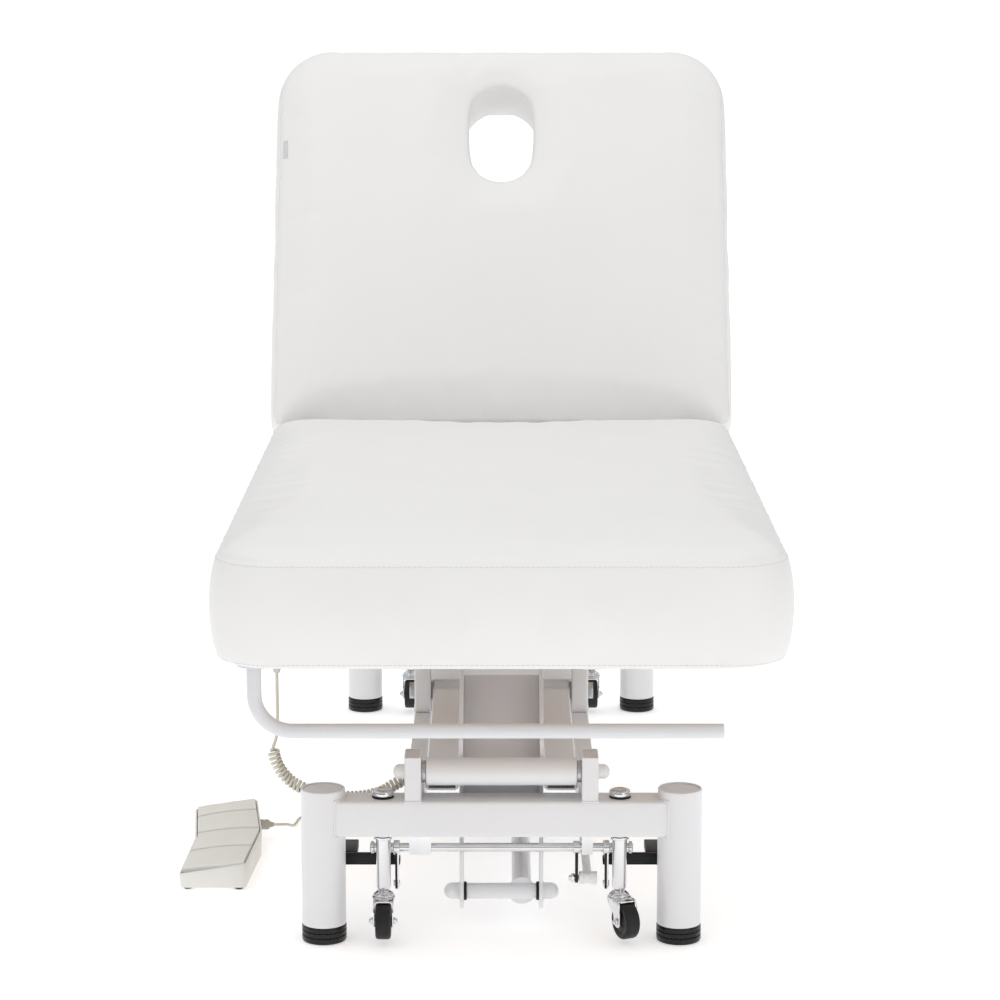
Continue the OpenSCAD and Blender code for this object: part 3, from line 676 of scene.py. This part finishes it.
    def edge_row(self, inset, z):
        """The outline at a height, drawn in by inset."""
        xs, ys = (graded(self.low[k], self.high[k]) for k in (0, 1))
        ring = np.array([(xs[i], ys[j]) for i, j in border(len(xs), len(ys))])
        x, y = self.fitted(ring[:, 0], ring[:, 1], inset)
        return np.column_stack([x, y, np.full(len(ring), z)])

    def build(self):
        bottom, seam = self.low[2], self.high[2]

        def crowned(x, y):
            d = distance_inside(x, y, self.low, self.high, *self.radii) - SEAM_INSET
            rise = CROWN * (1 - (1 - np.clip(d / 46, 0, 1)) ** 2.6)
            if self.front_slope:
                back = np.clip((y - self.low[1]) / self.front_slope, 0, 1)
                rise = np.minimum(rise, CROWN * (0.30 + 0.70 * back ** 0.85))
            if self.hole:
                hx, hy = x, y - self.hole[0]
                half = self.hole[1] / 2
                away = np.hypot(hx, np.maximum(np.abs(hy) - (self.hole[2] - self.hole[1]) / 2, 0)) - half
                rise = rise - 5 * np.exp(-np.clip(away - 14, 0, None) / 10)
            return seam + rise

        recess = bottom + 15.4
        top, top_hole = self.panel(SEAM_INSET, ROLL, crowned)
        base, base_hole = self.panel(WRAP, LINING_FOOT, lambda x, y: np.full(len(x), recess))
        height = seam - bottom
        close = [2.2, 5, 9, 16]
        levels = close + [27, 41, 58, 76, 94, 109] + [height - d for d in close[::-1]]
        rows = [self.edge_row(SEAM_INSET - BULGE * math.sin(math.pi * d / height) ** 0.6, seam - d)
                for d in levels]
        rows += [self.edge_row(SEAM_INSET, bottom)]
        rows += [self.edge_row(SEAM_INSET + 2.5, bottom - 0.4)]
        rows += [self.edge_row(i, bottom - 0.4) for i in (14, 24, WRAP)]
        loops = self.strip(top, rows, base)
        self.top_seam, self.bottom_seam = loops[0], loops[len(levels) + 1]
        self.boxing = loops[1 : len(levels) + 1]
        self.pins = list(top) + [i for loop in loops[len(levels) + 1 :] for i in loop]
        if self.hole:
            self.hole_wall(top_hole, base_hole, bottom + 0.6)
        lowest = min(self.points[i][2] for i in base)
        self.pins += [i for i, p in enumerate(self.points) if abs(p[2] - lowest) < 0.01]

    def hole_wall(self, top_hole, base_hole, low):
        """Rolls the top panel over the hole's edge and down its wall."""
        outer = [self.points[i] for i in top_hole]
        rows = []
        for k in range(1, 7):
            a = math.pi / 2 * k / 6
            row = [(*self.shrunk(p, ROLL * math.sin(a)), p[2] - 14 * (1 - math.cos(a))) for p in outer]
            rows.append(row)
        last = rows[-1]
        for k in range(1, 9):
            t = k / 9
            narrow = 1.6 * math.sin(math.pi * t) - LINING_FLARE * t
            rows.append([(*self.shrunk(p, narrow), p[2] + (low - p[2]) * t) for p in last])
        for amount in (1.2 - LINING_FLARE, -LINING_FLARE, -LINING_FOOT):
            rows.append([(*self.shrunk(p, amount), low) for p in last])
        loops = self.strip(top_hole, rows, base_hole)
        self.pins += [i for loop in loops[3:] for i in loop]

    def shrunk(self, p, amount):
        """Moves a point of the hole's outline towards the hole's middle, square to the outline."""
        x, y = p[0], p[1] - self.hole[0]
        straight = (self.hole[2] - self.hole[1]) / 2
        centre = min(max(y, -straight), straight)
        away = math.hypot(x, y - centre)
        k = (away - amount) / away
        return x * k, self.hole[0] + centre + (y - centre) * k

    def mesh(self):
        keep = [i for i in range(len(self.points)) if i not in self.unused]
        index = {old: new for new, old in enumerate(keep)}
        mesh = bpy.data.meshes.new(self.name)
        mesh.from_pydata([Vector(self.points[i]) * MM for i in keep], [],
                         [[index[i] for i in face] for face in self.faces])
        bm = bmesh.new()
        bm.from_mesh(mesh)
        bmesh.ops.recalc_face_normals(bm, faces=bm.faces)
        bm.to_mesh(mesh)
        bm.free()
        self.index = index
        return mesh


def inflate(obj, pins):
    """Swells a closed form as cloth round its pinned seams. No point moves more than the cap, in metres."""
    rest = np.array([v.co for v in obj.data.vertices])
    group = obj.vertex_groups.new(name="seams")
    group.add(pins, 1.0, "REPLACE")
    cloth = obj.modifiers.new("cloth", "CLOTH")
    s = cloth.settings
    s.quality = 6
    s.mass = 0.35
    s.tension_stiffness = s.compression_stiffness = 22
    s.shear_stiffness = 10
    s.bending_stiffness = 2.2
    s.use_pressure = True
    s.uniform_pressure_force = 2.5
    s.shrink_min = -0.004
    s.vertex_group_mass = "seams"
    s.effector_weights.gravity = 0
    scene = bpy.context.scene
    for step in range(1, 19):
        scene.frame_set(step)
    applied(obj)
    scene.frame_set(1)
    co = np.array([v.co for v in obj.data.vertices])
    move = co - rest
    far = np.linalg.norm(move, axis=1)
    move *= (np.minimum(far, SWELL_CAP) / np.maximum(far, 1e-9))[:, None]
    obj.data.vertices.foreach_set("co", (rest + move).ravel())
    obj.vertex_groups.clear()


def subdivided(obj):
    finer = obj.modifiers.new("finer", "SUBSURF")
    finer.levels = finer.render_levels = 1
    applied(obj)
    obj.data.polygons.foreach_set("use_smooth", [True] * len(obj.data.polygons))


def stitch_row(shape, surface, loop):
    """Threads laid end to end along a closed line on a surface, in millimetres."""
    line = smooth_loop(np.array(loop, float), 0.8)
    pitch, length = 8, 6
    for k in range(0, len(line) - pitch, pitch):
        row = []
        for i in range(length + 1):
            point, normal, _, _ = surface.find_nearest(Vector(line[k + i]))
            row.append(point + normal * (-0.55 if i in (0, length) else 0.12))
        shape.tube(row, 0.42, 6)


def blank_tag(surface, x, y, z, place):
    """Small woven tag without any marking, sewn on by the seam."""
    shape = Shape()
    grid = [[surface.find_nearest(Vector((a, b, z)))[:2] for a in np.linspace(*x, 5)]
            for b in np.linspace(*y, 9)]
    shape.loft([[p + n * 1.0 for p, n in row] + [p + n * 0.2 for p, n in row[::-1]] for row in grid])
    shape.piece("blank_tag", [], TAG, bevel=0, body="backrest", slot=SLOT["backrest_cushion"], place=place)


def upholster(node, y_span, radii, place=Matrix(), tag=None, **shape_of):
    """Makes a cushion, lying level between two values of y, with its seams and stitches."""
    name = node.replace("cushion", "upholstery")
    low, high = (seat_low.x, y_span[0], deck), (seat_high.x, y_span[1], seam_z)
    form = Cushion(name, low, high, *radii, **shape_of)
    obj = new_object(name, form.mesh(), VINYL)
    number = form.index
    inflate(obj, [number[i] for i in form.pins if i in number])
    verts = obj.data.vertices
    normals = [v.normal.copy() for v in verts]
    boxing = [[np.array(verts[number[i]].co) * 1000 for i in loop] for loop in form.boxing]
    for loop in (form.top_seam, form.bottom_seam):
        for i in loop:
            verts[number[i]].co -= normals[number[i]] * GROOVE * MM
    subdivided(obj)
    tree = BVHTree.FromPolygons([v.co * 1000 for v in obj.data.vertices],
                                [tuple(p.vertices) for p in obj.data.polygons])
    threads = Shape()
    stitch_row(threads, tree, boxing[1])
    stitch_row(threads, tree, boxing[-2])
    threads.piece(name + "_stitches", [], THREAD, bevel=0, body=BODY[node], slot=SLOT[node], place=place)
    if tag:
        blank_tag(tree, *tag, high[2] + 4, place)
    obj.data.transform(TO_ROW @ place @ Matrix.Scale(1000, 4))
    settle(obj, [node])


# The backrest is built level and then raised, round the same hinge and to the same sizes as in the part.
BACK_ANGLE = math.radians(65)
seat_low, seat_high = measured("seat_cushion")
seam_z = seat_high.z - CROWN
hinge = Vector((0, seat_high.y + 2.3, seam_z + 1))
RAISED = Matrix.Translation(hinge) @ Matrix.Rotation(BACK_ANGLE, 4, "X") @ Matrix.Translation(-hinge)
BACK_FRONT = hinge.y + 2.5
BACK_END = BACK_FRONT + 646
HOLE = (BACK_END - 149.5, 106, 164)

upholster("seat_cushion", (seat_low.y, seat_high.y), (80, 16), front_slope=125)
upholster("backrest_cushion", (BACK_FRONT, BACK_END), (16, 85), RAISED, ((-359, -349), (622, 652)),
          hole=HOLE, flare=2)

# ---- Base ----


def rounds(node):
    """Centre, radius and corners of each upright round solid of a node."""
    for low, high in solids(node):
        x, y, _ = middle(low, high)
        yield x, y, (high[0] - low[0]) / 2, low, high


def base_posts():
    shape = Shape()
    foot_top, top = (corner.z for corner in measured("leg_posts"))
    for x, y, r, _, _ in rounds("leg_posts"):
        wall = [(r, foot_top), (r, top - 1), (r - 0.8, top), (r - 2.5, top), (r - 2.5, foot_top)]
        shape.lathe(wall, standing(x, y), 96, closed=True)
    shape.piece("posts", ["leg_posts"], WHITE, bevel=0)


def base_feet():
    shape = Shape()
    for x, y, r, _, _ in rounds("rubber_feet"):
        profile = [(r - 2.5, 0), (r - 0.8, 0.6), (r, 2.4)]
        for z in (8, 15):
            groove = ((0, 0), (-0.4, 0.3), (-1.5, 0.6), (-1.5, 1.6), (-0.4, 1.9), (0, 2.3))
            profile += [(r + deep, z + up) for deep, up in groove]
        profile += [(r, 22.4), (r - 0.6, 23.7), (r - 3.2, 24), (r - 3.2, 40)]
        shape.lathe(profile, standing(x, y), 96)
    shape.piece("feet", ["rubber_feet"], BLACK_RUBBER, bevel=0)


def base_plugs():
    """Round caps of the posts and rectangular ones of the tubes."""
    shape = Shape()
    for x, y, r, low, high in rounds("tube_plugs"):
        top = high[2]
        if r > 15:
            rim = [(r, low[2]), (r, top - 0.8), (r - 0.7, top), (r - 5, top + 0.3), (r - 14, top + 0.5)]
            shape.lathe(rim, standing(x, y), 72)
        else:
            shape.prism(rounded_rectangle(low[:2], high[:2], 2), low[2], top)
    shape.piece("plugs", ["tube_plugs"], GREY_CAP, bevel=0.5)


def base_beams():
    """Cross beams that end in a saddle on each post, with the weld round it."""
    shape = Shape()
    axis_x, post_r = 242.5, 30
    end = axis_x - 17
    for low, high in solids("end_beams"):
        y, half = (low[1] + high[1]) / 2, (high[1] - low[1]) / 2
        shape.steel((-end, low[1], low[2]), (end, high[1], high[2]), 0, corner=4)
        reach = math.asin(half / post_r)
        for s in (-1, 1):
            arc = [(s * (axis_x - (post_r + 0.3) * math.cos(a)), y + (post_r + 0.3) * math.sin(a))
                   for a in np.linspace(-reach, reach, 13)]
            shape.weld([(*p, high[2] + 0.4) for p in arc] + [(*p, low[2] - 0.4) for p in arc[::-1]], 2.0)
    shape.piece("beams", ["end_beams"], WHITE, bevel=0)


def rails(name, node, axis, beads=()):
    """Rounded steel tubes in place of each solid of a node, with weld beads round the named ends."""
    shape = Shape()
    for low, high in solids(node):
        shape.steel(low, high, axis)
        for end in beads:
            shape.weld(section(low, high, axis, (low, high)[end][axis], 3, 3), 1.5)
    shape.piece(name, [node], WHITE, bevel=0)


base_posts()
base_feet()
base_plugs()
base_beams()
rails("side_rails", "base_rails", 1, (0, 1))
rails("upright_tubes", "pivot_uprights", 2, (0,))
dress_all(("actuator_crossbar", WHITE, 1.0), ("lower_pivot_bolts", ZINC, 0.6))


def nut_caps(name, node, radius, height, paint):
    """Domed caps with a nut flange behind each."""
    shape = Shape()
    for low, high in solids(node):
        _, y, z = middle(low, high)
        outward = 1 if low[0] > 0 else -1
        face = low[0] if outward > 0 else high[0]
        place = Matrix.Translation((face, y, z)) @ Matrix.Rotation(outward * math.pi / 2, 4, "Y")
        shape.lathe([(radius + 0.9, 0), (radius + 0.9, 1.2), (radius + 0.2, 1.8)], place, 40)
        shape.lathe(dome(radius, height), place, 40)
    shape.piece(name, [node], paint, bevel=0)


nut_caps("pivot_caps", "pivot_nut_caps", 10, 16, NUT_CAP)


def bearings():
    """Pressed bearing straps of the castor shafts, and the rings and caps of the castor stems."""
    shape, rings = Shape(), Shape()
    for x, y, r, low, high in rounds("castor_bearings"):
        place = standing(x, y)
        foot, top = low[2], high[2]
        if top - foot >= 12 or r <= 10:
            shape.block(low, high)
        elif foot > 180:
            shape.lathe([(r - 1.5, foot + 2.2), (r, foot + 3.4), (r, top - 2.4), (r - 1, top - 0.8),
                         (r - 3, top), (r - 4, top - 0.5), (4, top - 0.5)], place, 56)
            rings.lathe([(r - 0.2, foot), (r + 0.4, foot + 0.6), (r + 0.2, foot + 2.2)], place, 56)
        else:
            shape.lathe([(r, top - 3.6), (r, top)], place, 56)
            rings.lathe([(r - 1.2, top - 4.8), (r - 1.2, top - 3.6)], place, 56)
            shape.lathe([(r - 0.4, top - 8.6), (r, top - 8), (r, top - 5.2), (r - 0.4, top - 4.7)],
                        place, 56)
    shape.piece("bearings_and_caps", ["castor_bearings"], CHROME, bevel=0.5)
    rings.piece("stem_seals", [], BLACK_STEEL, bevel=0.2, body="base", slot="foot_rubber")


bearings()

# ---- Lift arms, crank and actuators ----


def lift_arms(name, node):
    """Arms and pivot tubes of one end of the lift, with their welds."""
    shape = Shape()
    for low, high in solids(node):
        _, y, z = middle(low, high)
        length = high[0] - low[0]
        if length > 100:
            profile = rod((high[2] - low[2]) / 2, length, 1) + [(8.4, length), (8.4, 0)]
            shape.lathe(profile, along_x(low[0], y, z), 96, closed=True)
        else:
            shape.steel(low, high, 1, 3.5)
            for end in (low[1] + 8, high[1] - 11):
                shape.weld(section(low, high, 1, end, 3.5, 3), 1.8)
    shape.piece(name, [node], WHITE, bevel=0)


lift_arms("front_arms_welded", "front_lift_arms")
lift_arms("rear_arms_welded", "rear_lift_arms")
# The crank web's grey is painted shade on the white cheeks' paint.
dress_all(("lead_clip", NUT_CAP, 1.2), ("crank_cheeks", WHITE, 0.9), ("crank_web", SHADED_WEB_PAINT, 0.8),
          ("crank_bolt", BLACK_STEEL, 0.5))
nut_caps("crank_nut_caps", "crank_caps", 11.5, 22, NUT_CAP)
dress_all(("push_rod", WHITE, 1.2), ("lift_actuator", MOTOR, 2.0))

# ---- Seat frame ----

rails("seat_rails", "frame_rails", 1)
dress_all(("frame_crossbars", WHITE, 0.9))
rails("drop_tubes", "drop_brackets", 2, (0,))
dress_all(("upper_pivot_bolts", ZINC, 0.6), ("hinge_ears", ZINC, 0.5), ("seat_board", PLYWOOD, 1.0),
          ("control_box", BOX_PLASTIC, 2.0))


def paper_bar():
    """Paper-roll bar with its bend, its welded foot plate and its rounded free end."""
    low, high = measured("paper_bar")
    r, bend = 9.5, 48
    x, y, z = low.x + 22, (low.y + high.y) / 2, low.z + r
    line = [(x, y, k) for k in (high.z - 0.2, 430, 415)]
    line += [(x + bend - bend * math.cos(a), y, z + bend - bend * math.sin(a))
             for a in np.linspace(0, math.pi / 2, 17)]
    line += [(k, y, z) for k in (-150, 0, 150, 281, high.x - 0.8, high.x)]
    shape = Shape()
    shape.tube(line, [r] * (len(line) - 1) + [r - 0.9], 48)
    shape.lathe([(22, high.z - 6), (22, high.z - 0.2)], standing(x, y), 48)
    shape.weld([(x + 10.4 * math.cos(a), y + 10.4 * math.sin(a), high.z - 6.4)
                for a in np.linspace(0, 2 * math.pi, 40)[:-1]], 1.4)
    shape.piece("paper_roll_bar", ["paper_bar"], BAR_PAINT, bevel=0.5)


paper_bar()
dress_all(("back_actuator", MOTOR, 1.5), ("back_actuator_rod", ZINC, 0.6), ("backrest_board", PLYWOOD, 1.0),
          ("backrest_frame", WHITE, 0.8), ("hinge_straps", ZINC, 0.5))

# ---- Castors and their shafts ----


SHAFT_Z = 124.5


def shaft(name, node):
    """Round shaft with its hanging levers, bosses and set screws."""
    low, high = measured(node)
    z = SHAFT_Z
    y = (low.y + high.y) / 2
    shape, dark = Shape(), Shape()
    for r, x, length in ((6, low.x, high.x - low.x), (8.5, low.x + 1, 5), (8.5, high.x - 6, 5)):
        shape.lathe(rod(r, length), along_x(x, y, z), 40)
    for x0, x1 in ((-148, -139), (139, 148)):
        shape.lathe(rod(10, x1 - x0), along_x(x0, y, z), 40)
        lever(dark, x0 + 2.4, x1 - 3.4, y, z, 54, 7.5, 5)
        lever(shape, x0 + 5.4, x1 - 1.4, y - 1, z, 52, 8, 5.5)
        shape.lathe(rod(4.4, 9), along_x(x0, y, z - 51), 28)
    shape.lathe(rod(9, 10), along_x(98, y, z), 40)
    lever(dark, 101, 105, y, z, 43.5, 7, 7)
    shape.loft(hexagon(6.5, 5), along_x(95.5, y, z - 43.5))
    shape.loft(hexagon(4, 4), along_x(92, y, z - 43.5))
    shape.piece(name, [node], CHROME, bevel=0.3)
    dark.piece(name + "_levers", [], BLACK_STEEL, bevel=0.4, body=BODY[node], slot="black_steel")


def lever(shape, x0, x1, y, z, drop, top, tip):
    """Flat lever with round ends that hangs from a shaft."""
    outline = [(top * math.cos(a), top * math.sin(a)) for a in np.linspace(0, math.pi, 13)]
    outline += [(tip * math.cos(a), -drop + tip * math.sin(a))
                for a in np.linspace(math.pi, 2 * math.pi, 13)]
    shape.loft([[(x, y + a, z + b) for a, b in outline] for x in (x0, x1)])


shaft("front_castor_shaft", "castor_shaft_front")
shaft("rear_castor_shaft", "castor_shaft_rear")
dress_all(("foot_bars", BLACK_STEEL, 1.2))


def link_rod():
    """Rod that turns the rear castor shaft with the front one, with its rollers."""
    low, high = measured("castor_link")
    z = SHAFT_Z - 43.5
    shape = Shape()
    ends = (low.y + 9, high.y - 9)
    shape.tube([(118, y, z) for y in (ends[0] + 6, 0, ends[1] - 6)], 6, 32)
    roller = [(8.2, 0), (9, 0.8), (9, 6), (7.6, 7), (7.6, 15), (9, 16), (9, 23.9), (8.2, 24.7)]
    for y in ends:
        shape.lathe(roller, along_x(106.3, y, z), 40)
        shape.lathe(rod(4, 8.3, 0.3), along_x(98, y, z), 24)
    shape.piece("castor_link_rod", ["castor_link"], NUT_CAP, bevel=0.2)


link_rod()


def castor(key):
    """Stem, swivel fork and wheel of one castor."""
    stem_low, stem_high = measured("castor_stem_" + key)
    x, y, _ = middle(stem_low, stem_high)
    here = standing(x, y)
    stem = Shape()
    stem.lathe([(5.4, 61), (5.4, 70), (7.6, 72), (9, 72.4), (10, 74.5), (10, stem_high.z)], here, 56)
    stem.piece("stem_" + key, ["castor_stem_" + key], CHROME, bevel=0.2)
    wheel_x, wheel_y, _ = middle(*measured("castor_wheel_" + key))
    place = here @ Matrix.Rotation(math.atan2(wheel_x - x, y - wheel_y), 4, "Z")
    axle = Vector((0, -20, 32))
    fork = Shape()
    fork.lathe([(15.2, 58.2), (16, 59), (16, 60.6), (15, 61.6), (13.4, 62), (14.2, 62.6), (14.2, 64),
                (12.4, 66), (8.4, 69), (7.0, 69.4)], place, 56)
    cheek = [(-27.5, 27), (-25, 24.6), (-20, 23.4), (-15, 24.6), (-12.4, 28), (-9, 40), (4, 50),
             (10.5, 56), (10.5, 60), (-4, 61), (-21, 60), (-24.5, 56), (-27, 44)]
    for s in (-1, 1):
        fork.loft([[(k, a, b) for a, b in cheek] for k in sorted((s * 11.4, s * 14))], place)
        nut, cap = (place @ Matrix.Translation(axle + Vector((s * out, 0, 0)))
                    @ Matrix.Rotation(s * math.pi / 2, 4, "Y") for out in (14, 16.4))
        fork.loft(hexagon(5.4, 3), nut)
        fork.lathe(dome(3.4, 3.4), cap, 24)
    crest = [(-13.9, 5), (13.9, 5), (13.9, -18), (9, -25), (-9, -25), (-13.9, -18)]
    fork.prism(crest, 58.4, 60.6, place)
    fork.piece("fork_" + key, ["castor_fork_" + key], CHROME, bevel=0.5)
    half, tread, curve = 10.5, 20.8, 4.2
    profile = [(3.1, -half - 0.6), (6.6, -half - 0.6), (7.6, -half + 0.6), (15.5, -half + 1.6),
               (17.5, -half + 0.3), (tread, -half)]
    profile += [(tread + curve * math.sin(a), -half + curve - curve * math.cos(a))
                for a in np.linspace(0.25, math.pi / 2, 6)]
    profile += [(r, -z) for r, z in profile[::-1]]
    wheel = Shape()
    spin = place @ Matrix.Translation(axle) @ Matrix.Rotation(math.pi / 2, 4, "Y")
    wheel.lathe(profile, spin, 72, closed=True)
    wheel.piece("wheel_" + key, ["castor_wheel_" + key], TYRE, bevel=0)


for corner in ("fl", "fr", "rl", "rr"):
    castor(corner)

# ---- Foot control ----

# The housing's outline and the treads' dividing lines, as in the part's source.
OUTLINE = [(-465, -425), (-367, -425), (-357, -262), (-378, -83), (-475, -80), (-459, -245)]
CUTS = [(-412, -427), (-320, -342), (-230, -253), (-139, -149), (-70, -72)]
SLOPE = math.tan(math.radians(9.2))
LOW_EDGE = 26
LEFT = -475


def top_at(x):
    """Height of the treads' sloping plane."""
    return LOW_EDGE + (x - LEFT) * SLOPE


def inset_outline(points, inset, radius, steps=5):
    """A polygon drawn in by inset, with its corners rounded."""
    n = len(points)
    lines = []
    for i in range(n):
        a, b = Vector(points[i]), Vector(points[(i + 1) % n])
        inward = (b - a).normalized()
        inward = Vector((-inward.y, inward.x))
        lines.append((a + inward * inset, b - a))
    corners = []
    for i in range(n):
        (p, d), (q, e) = lines[i - 1], lines[i]
        t = ((q - p).x * e.y - (q - p).y * e.x) / (d.x * e.y - d.y * e.x)
        corners.append(p + d * t)
    out = []
    for i in range(n):
        p = corners[i]
        a, b = (corners[i - 1] - p).normalized(), (corners[(i + 1) % n] - p).normalized()
        start, end = p + a * radius, p + b * radius
        for k in range(steps + 1):
            t = k / steps
            out.append(tuple((1 - t) ** 2 * start + 2 * t * (1 - t) * p + t * t * end))
    return out


def control_base():
    """Shell of the foot control, its four small feet, and the ribbed gland of its lead."""
    outer, foot, inner = (inset_outline(OUTLINE, *how) for how in ((0, 9), (1.2, 9), (2.6, 7)))
    shape = Shape()
    shape.loft([[(x, y, 4) for x, y in foot], [(x, y, top_at(x) - 3.4) for x, y in outer],
                [(x, y, top_at(x) - 3.0) for x, y in inner], [(x, y, 9) for x, y in inner]])
    shape.piece("control_housing_shell", ["control_housing"], IVORY, bevel=0.5)
    pads = Shape()
    for x, y in ((-453, -410), (-379, -412), (-460, -95), (-390, -97)):
        pads.lathe([(5.6, 0), (6.4, 0.6), (6.4, 3.6), (6, 4.2)], standing(x, y), 28)
    pads.piece("control_feet", [], BLACK_RUBBER, bevel=0, body="base", slot="foot_rubber")
    gland = Shape()
    ribs = []
    profile = [(5.6, 0), (6.6, 1), (6.6, 3), (7.8, 3.6), (7.8, 8), (7.2, 8.6), (7.2, 9.4), (7.8, 10),
               (7.8, 15), (7, 16.4), (4.6, 18.4), (3.1, 24)]
    for r, z in profile:
        ring = []
        for k in range(60):
            a = 2 * math.pi * k / 60
            groove = 0.5 if r > 7.5 and k % 5 in (0, 1) else 0
            ring.append(((r - groove) * math.cos(a), (r - groove) * math.sin(a), z))
        ribs.append(ring)
    gland.loft(ribs, along_x(-370, -174, 25))
    gland.piece("control_gland", [], SHADED_IVORY, bevel=0, body="base", slot="cream_plastic")


def control_tread(i):
    """One tread: a humped plate with curved ends, rows of grip dots, and a skirt."""
    near, far = CUTS[i], CUTS[i + 1]
    inner = inset_outline(OUTLINE, 4.0, 0.1, 1)
    bow, gap = 8.5, 1.0
    count_u, count_v = 25, 15

    def side(y, left):
        """The inset outline's own edge at y, on the left or the right."""
        hits = []
        for (x0, y0), (x1, y1) in zip(inner, inner[1:] + inner[:1]):
            if min(y0, y1) <= y <= max(y0, y1) and abs(y1 - y0) > 1e-6:
                hits.append(x0 + (x1 - x0) * (y - y0) / (y1 - y0))
        return min(hits) if left else max(hits)

    low_y, high_y = min(p[1] for p in inner) + 0.05, max(p[1] for p in inner) - 0.05

    def spot(s, t, shrink=0.0):
        """Point of the tread: s from left to right, t from near to far, both from 0 to 1."""
        first, last = i == 0, i == len(CUTS) - 2
        arch = bow * (1 - (2 * s - 1) ** 2)
        a = (near[0] + (near[1] - near[0]) * s) + (0 if first else arch) + gap + shrink
        b = (far[0] + (far[1] - far[0]) * s) + (0 if last else arch) - gap - shrink
        y = min(max(a + (b - a) * t, low_y + shrink), high_y - shrink)
        x0, x1 = side(y, True) + shrink, side(y, False) - shrink
        return x0 + (x1 - x0) * s, y

    def surface(s, t):
        return 1.5 * (1 - (2 * t - 1) ** 2) + 1.8 * (1 - t) - 0.9

    def raised(s, t, shrink, lift=0):
        x, y = spot(s, t, shrink)
        return x, y, top_at(x) + surface(s, t) + lift

    shape = Shape()
    wide = count_u + 1
    points = [raised(k / count_u, j / count_v, 1.1) for j in range(count_v + 1) for k in range(wide)]
    faces = [[a, a + 1, a + wide + 1, a + wide]
             for a in (j * wide + k for j in range(count_v) for k in range(count_u))]
    rim = border(wide, count_v + 1)
    loops = [[j * wide + k for k, j in rim]]
    for shrink, drop in ((0.35, 0.35), (0, 1.2), (0, 8)):
        loops.append(list(range(len(points), len(points) + len(rim))))
        points += [raised(k / count_u, j / count_v, shrink, -drop) for k, j in rim]
    shape.add(points, faces + bands(loops) + [loops[-1][::-1]])
    for j in range(2, 8):
        for k in range(3, 14):
            dot = Matrix.Translation(raised((k + 0.5 * (j % 2)) / 20, j / 9, 1.1))
            shape.lathe([(1.25, -0.4), (1.2, 0.15), (0.9, 0.45), (0.45, 0.62)], dot, 8)
    name = f"tread_{i + 1}"
    shape.piece("control_" + name, [name], IVORY, bevel=0)


control_base()
for number in range(4):
    control_tread(number)

# ---- Stage ----

bpy.ops.mesh.primitive_plane_add(size=1200, location=(0, 0, -0.0004))
floor = bpy.context.object
floor.name = "floor"
pale = material("pale_floor", (0.93, 0.93, 0.93), 0.75, spread=0.004, patch=2, grain=60, depth=0.01)
glow = pale.node_tree.nodes["Principled BSDF"].inputs
glow["Emission Color"].default_value = (1, 1, 1, 1)
glow["Emission Strength"].default_value = 0.42
floor.data.materials.append(pale)


def studio_world():
    """White dome with a darker band near the horizon that polished metal picks up."""
    world = bpy.data.worlds.new("studio")
    bpy.context.scene.world = world
    world.use_nodes = True
    tree = world.node_tree
    link = tree.links.new
    dome_light = tree.nodes["Background"]
    dome_light.inputs["Strength"].default_value = 0.84
    place = tree.nodes.new("ShaderNodeTexCoord")
    apart = tree.nodes.new("ShaderNodeSeparateXYZ")
    half = node_of(tree, "ShaderNodeMapRange", From_Min=-1)
    ramp = tree.nodes.new("ShaderNodeValToRGB")
    stops = ((0.0, 0.55), (0.46, 0.5), (0.52, 0.2), (0.60, 0.5), (0.70, 0.95), (1.0, 1.0))
    ramp.color_ramp.elements[0].position = stops[0][0]
    ramp.color_ramp.elements[1].position = stops[-1][0]
    for position, _ in stops[1:-1]:
        ramp.color_ramp.elements.new(position)
    for element, (_, level) in zip(ramp.color_ramp.elements, stops):
        element.color = (level, level, level * 1.01, 1)
    link(place.outputs["Generated"], apart.inputs["Vector"])
    link(apart.outputs["Z"], half.inputs["Value"])
    link(half.outputs["Result"], ramp.inputs["Fac"])
    link(ramp.outputs["Color"], dome_light.inputs["Color"])
    backdrop = node_of(tree, "ShaderNodeBackground", Strength=1.0)
    rays = tree.nodes.new("ShaderNodeLightPath")
    mix = tree.nodes.new("ShaderNodeMixShader")
    link(rays.outputs["Is Camera Ray"], mix.inputs[0])
    link(dome_light.outputs["Background"], mix.inputs[1])
    link(backdrop.outputs["Background"], mix.inputs[2])
    link(mix.outputs["Shader"], tree.nodes["World Output"].inputs["Surface"])


def soft_light(name, place, target, size, power):
    data = bpy.data.lights.new(name, "AREA")
    data.shape = "DISK"
    data.size = size
    data.energy = power
    made = bpy.data.objects.new(name, data)
    bpy.context.scene.collection.objects.link(made)
    made.location = place
    made.rotation_euler = (Vector(target) - Vector(place)).to_track_quat("-Z", "Y").to_euler()


studio_world()
soft_light("key", (-1.0, -1.8, 4.0), (0, 0, 0.5), 2.4, 22)
soft_light("fill", (2.2, -3.4, 1.2), (0, 0, 0.3), 2.0, 8)
soft_light("top", (0, 0.6, 4.0), (0, 0.2, 0.5), 3.0, 14)
bpy.context.scene.view_settings.view_transform = "Standard"
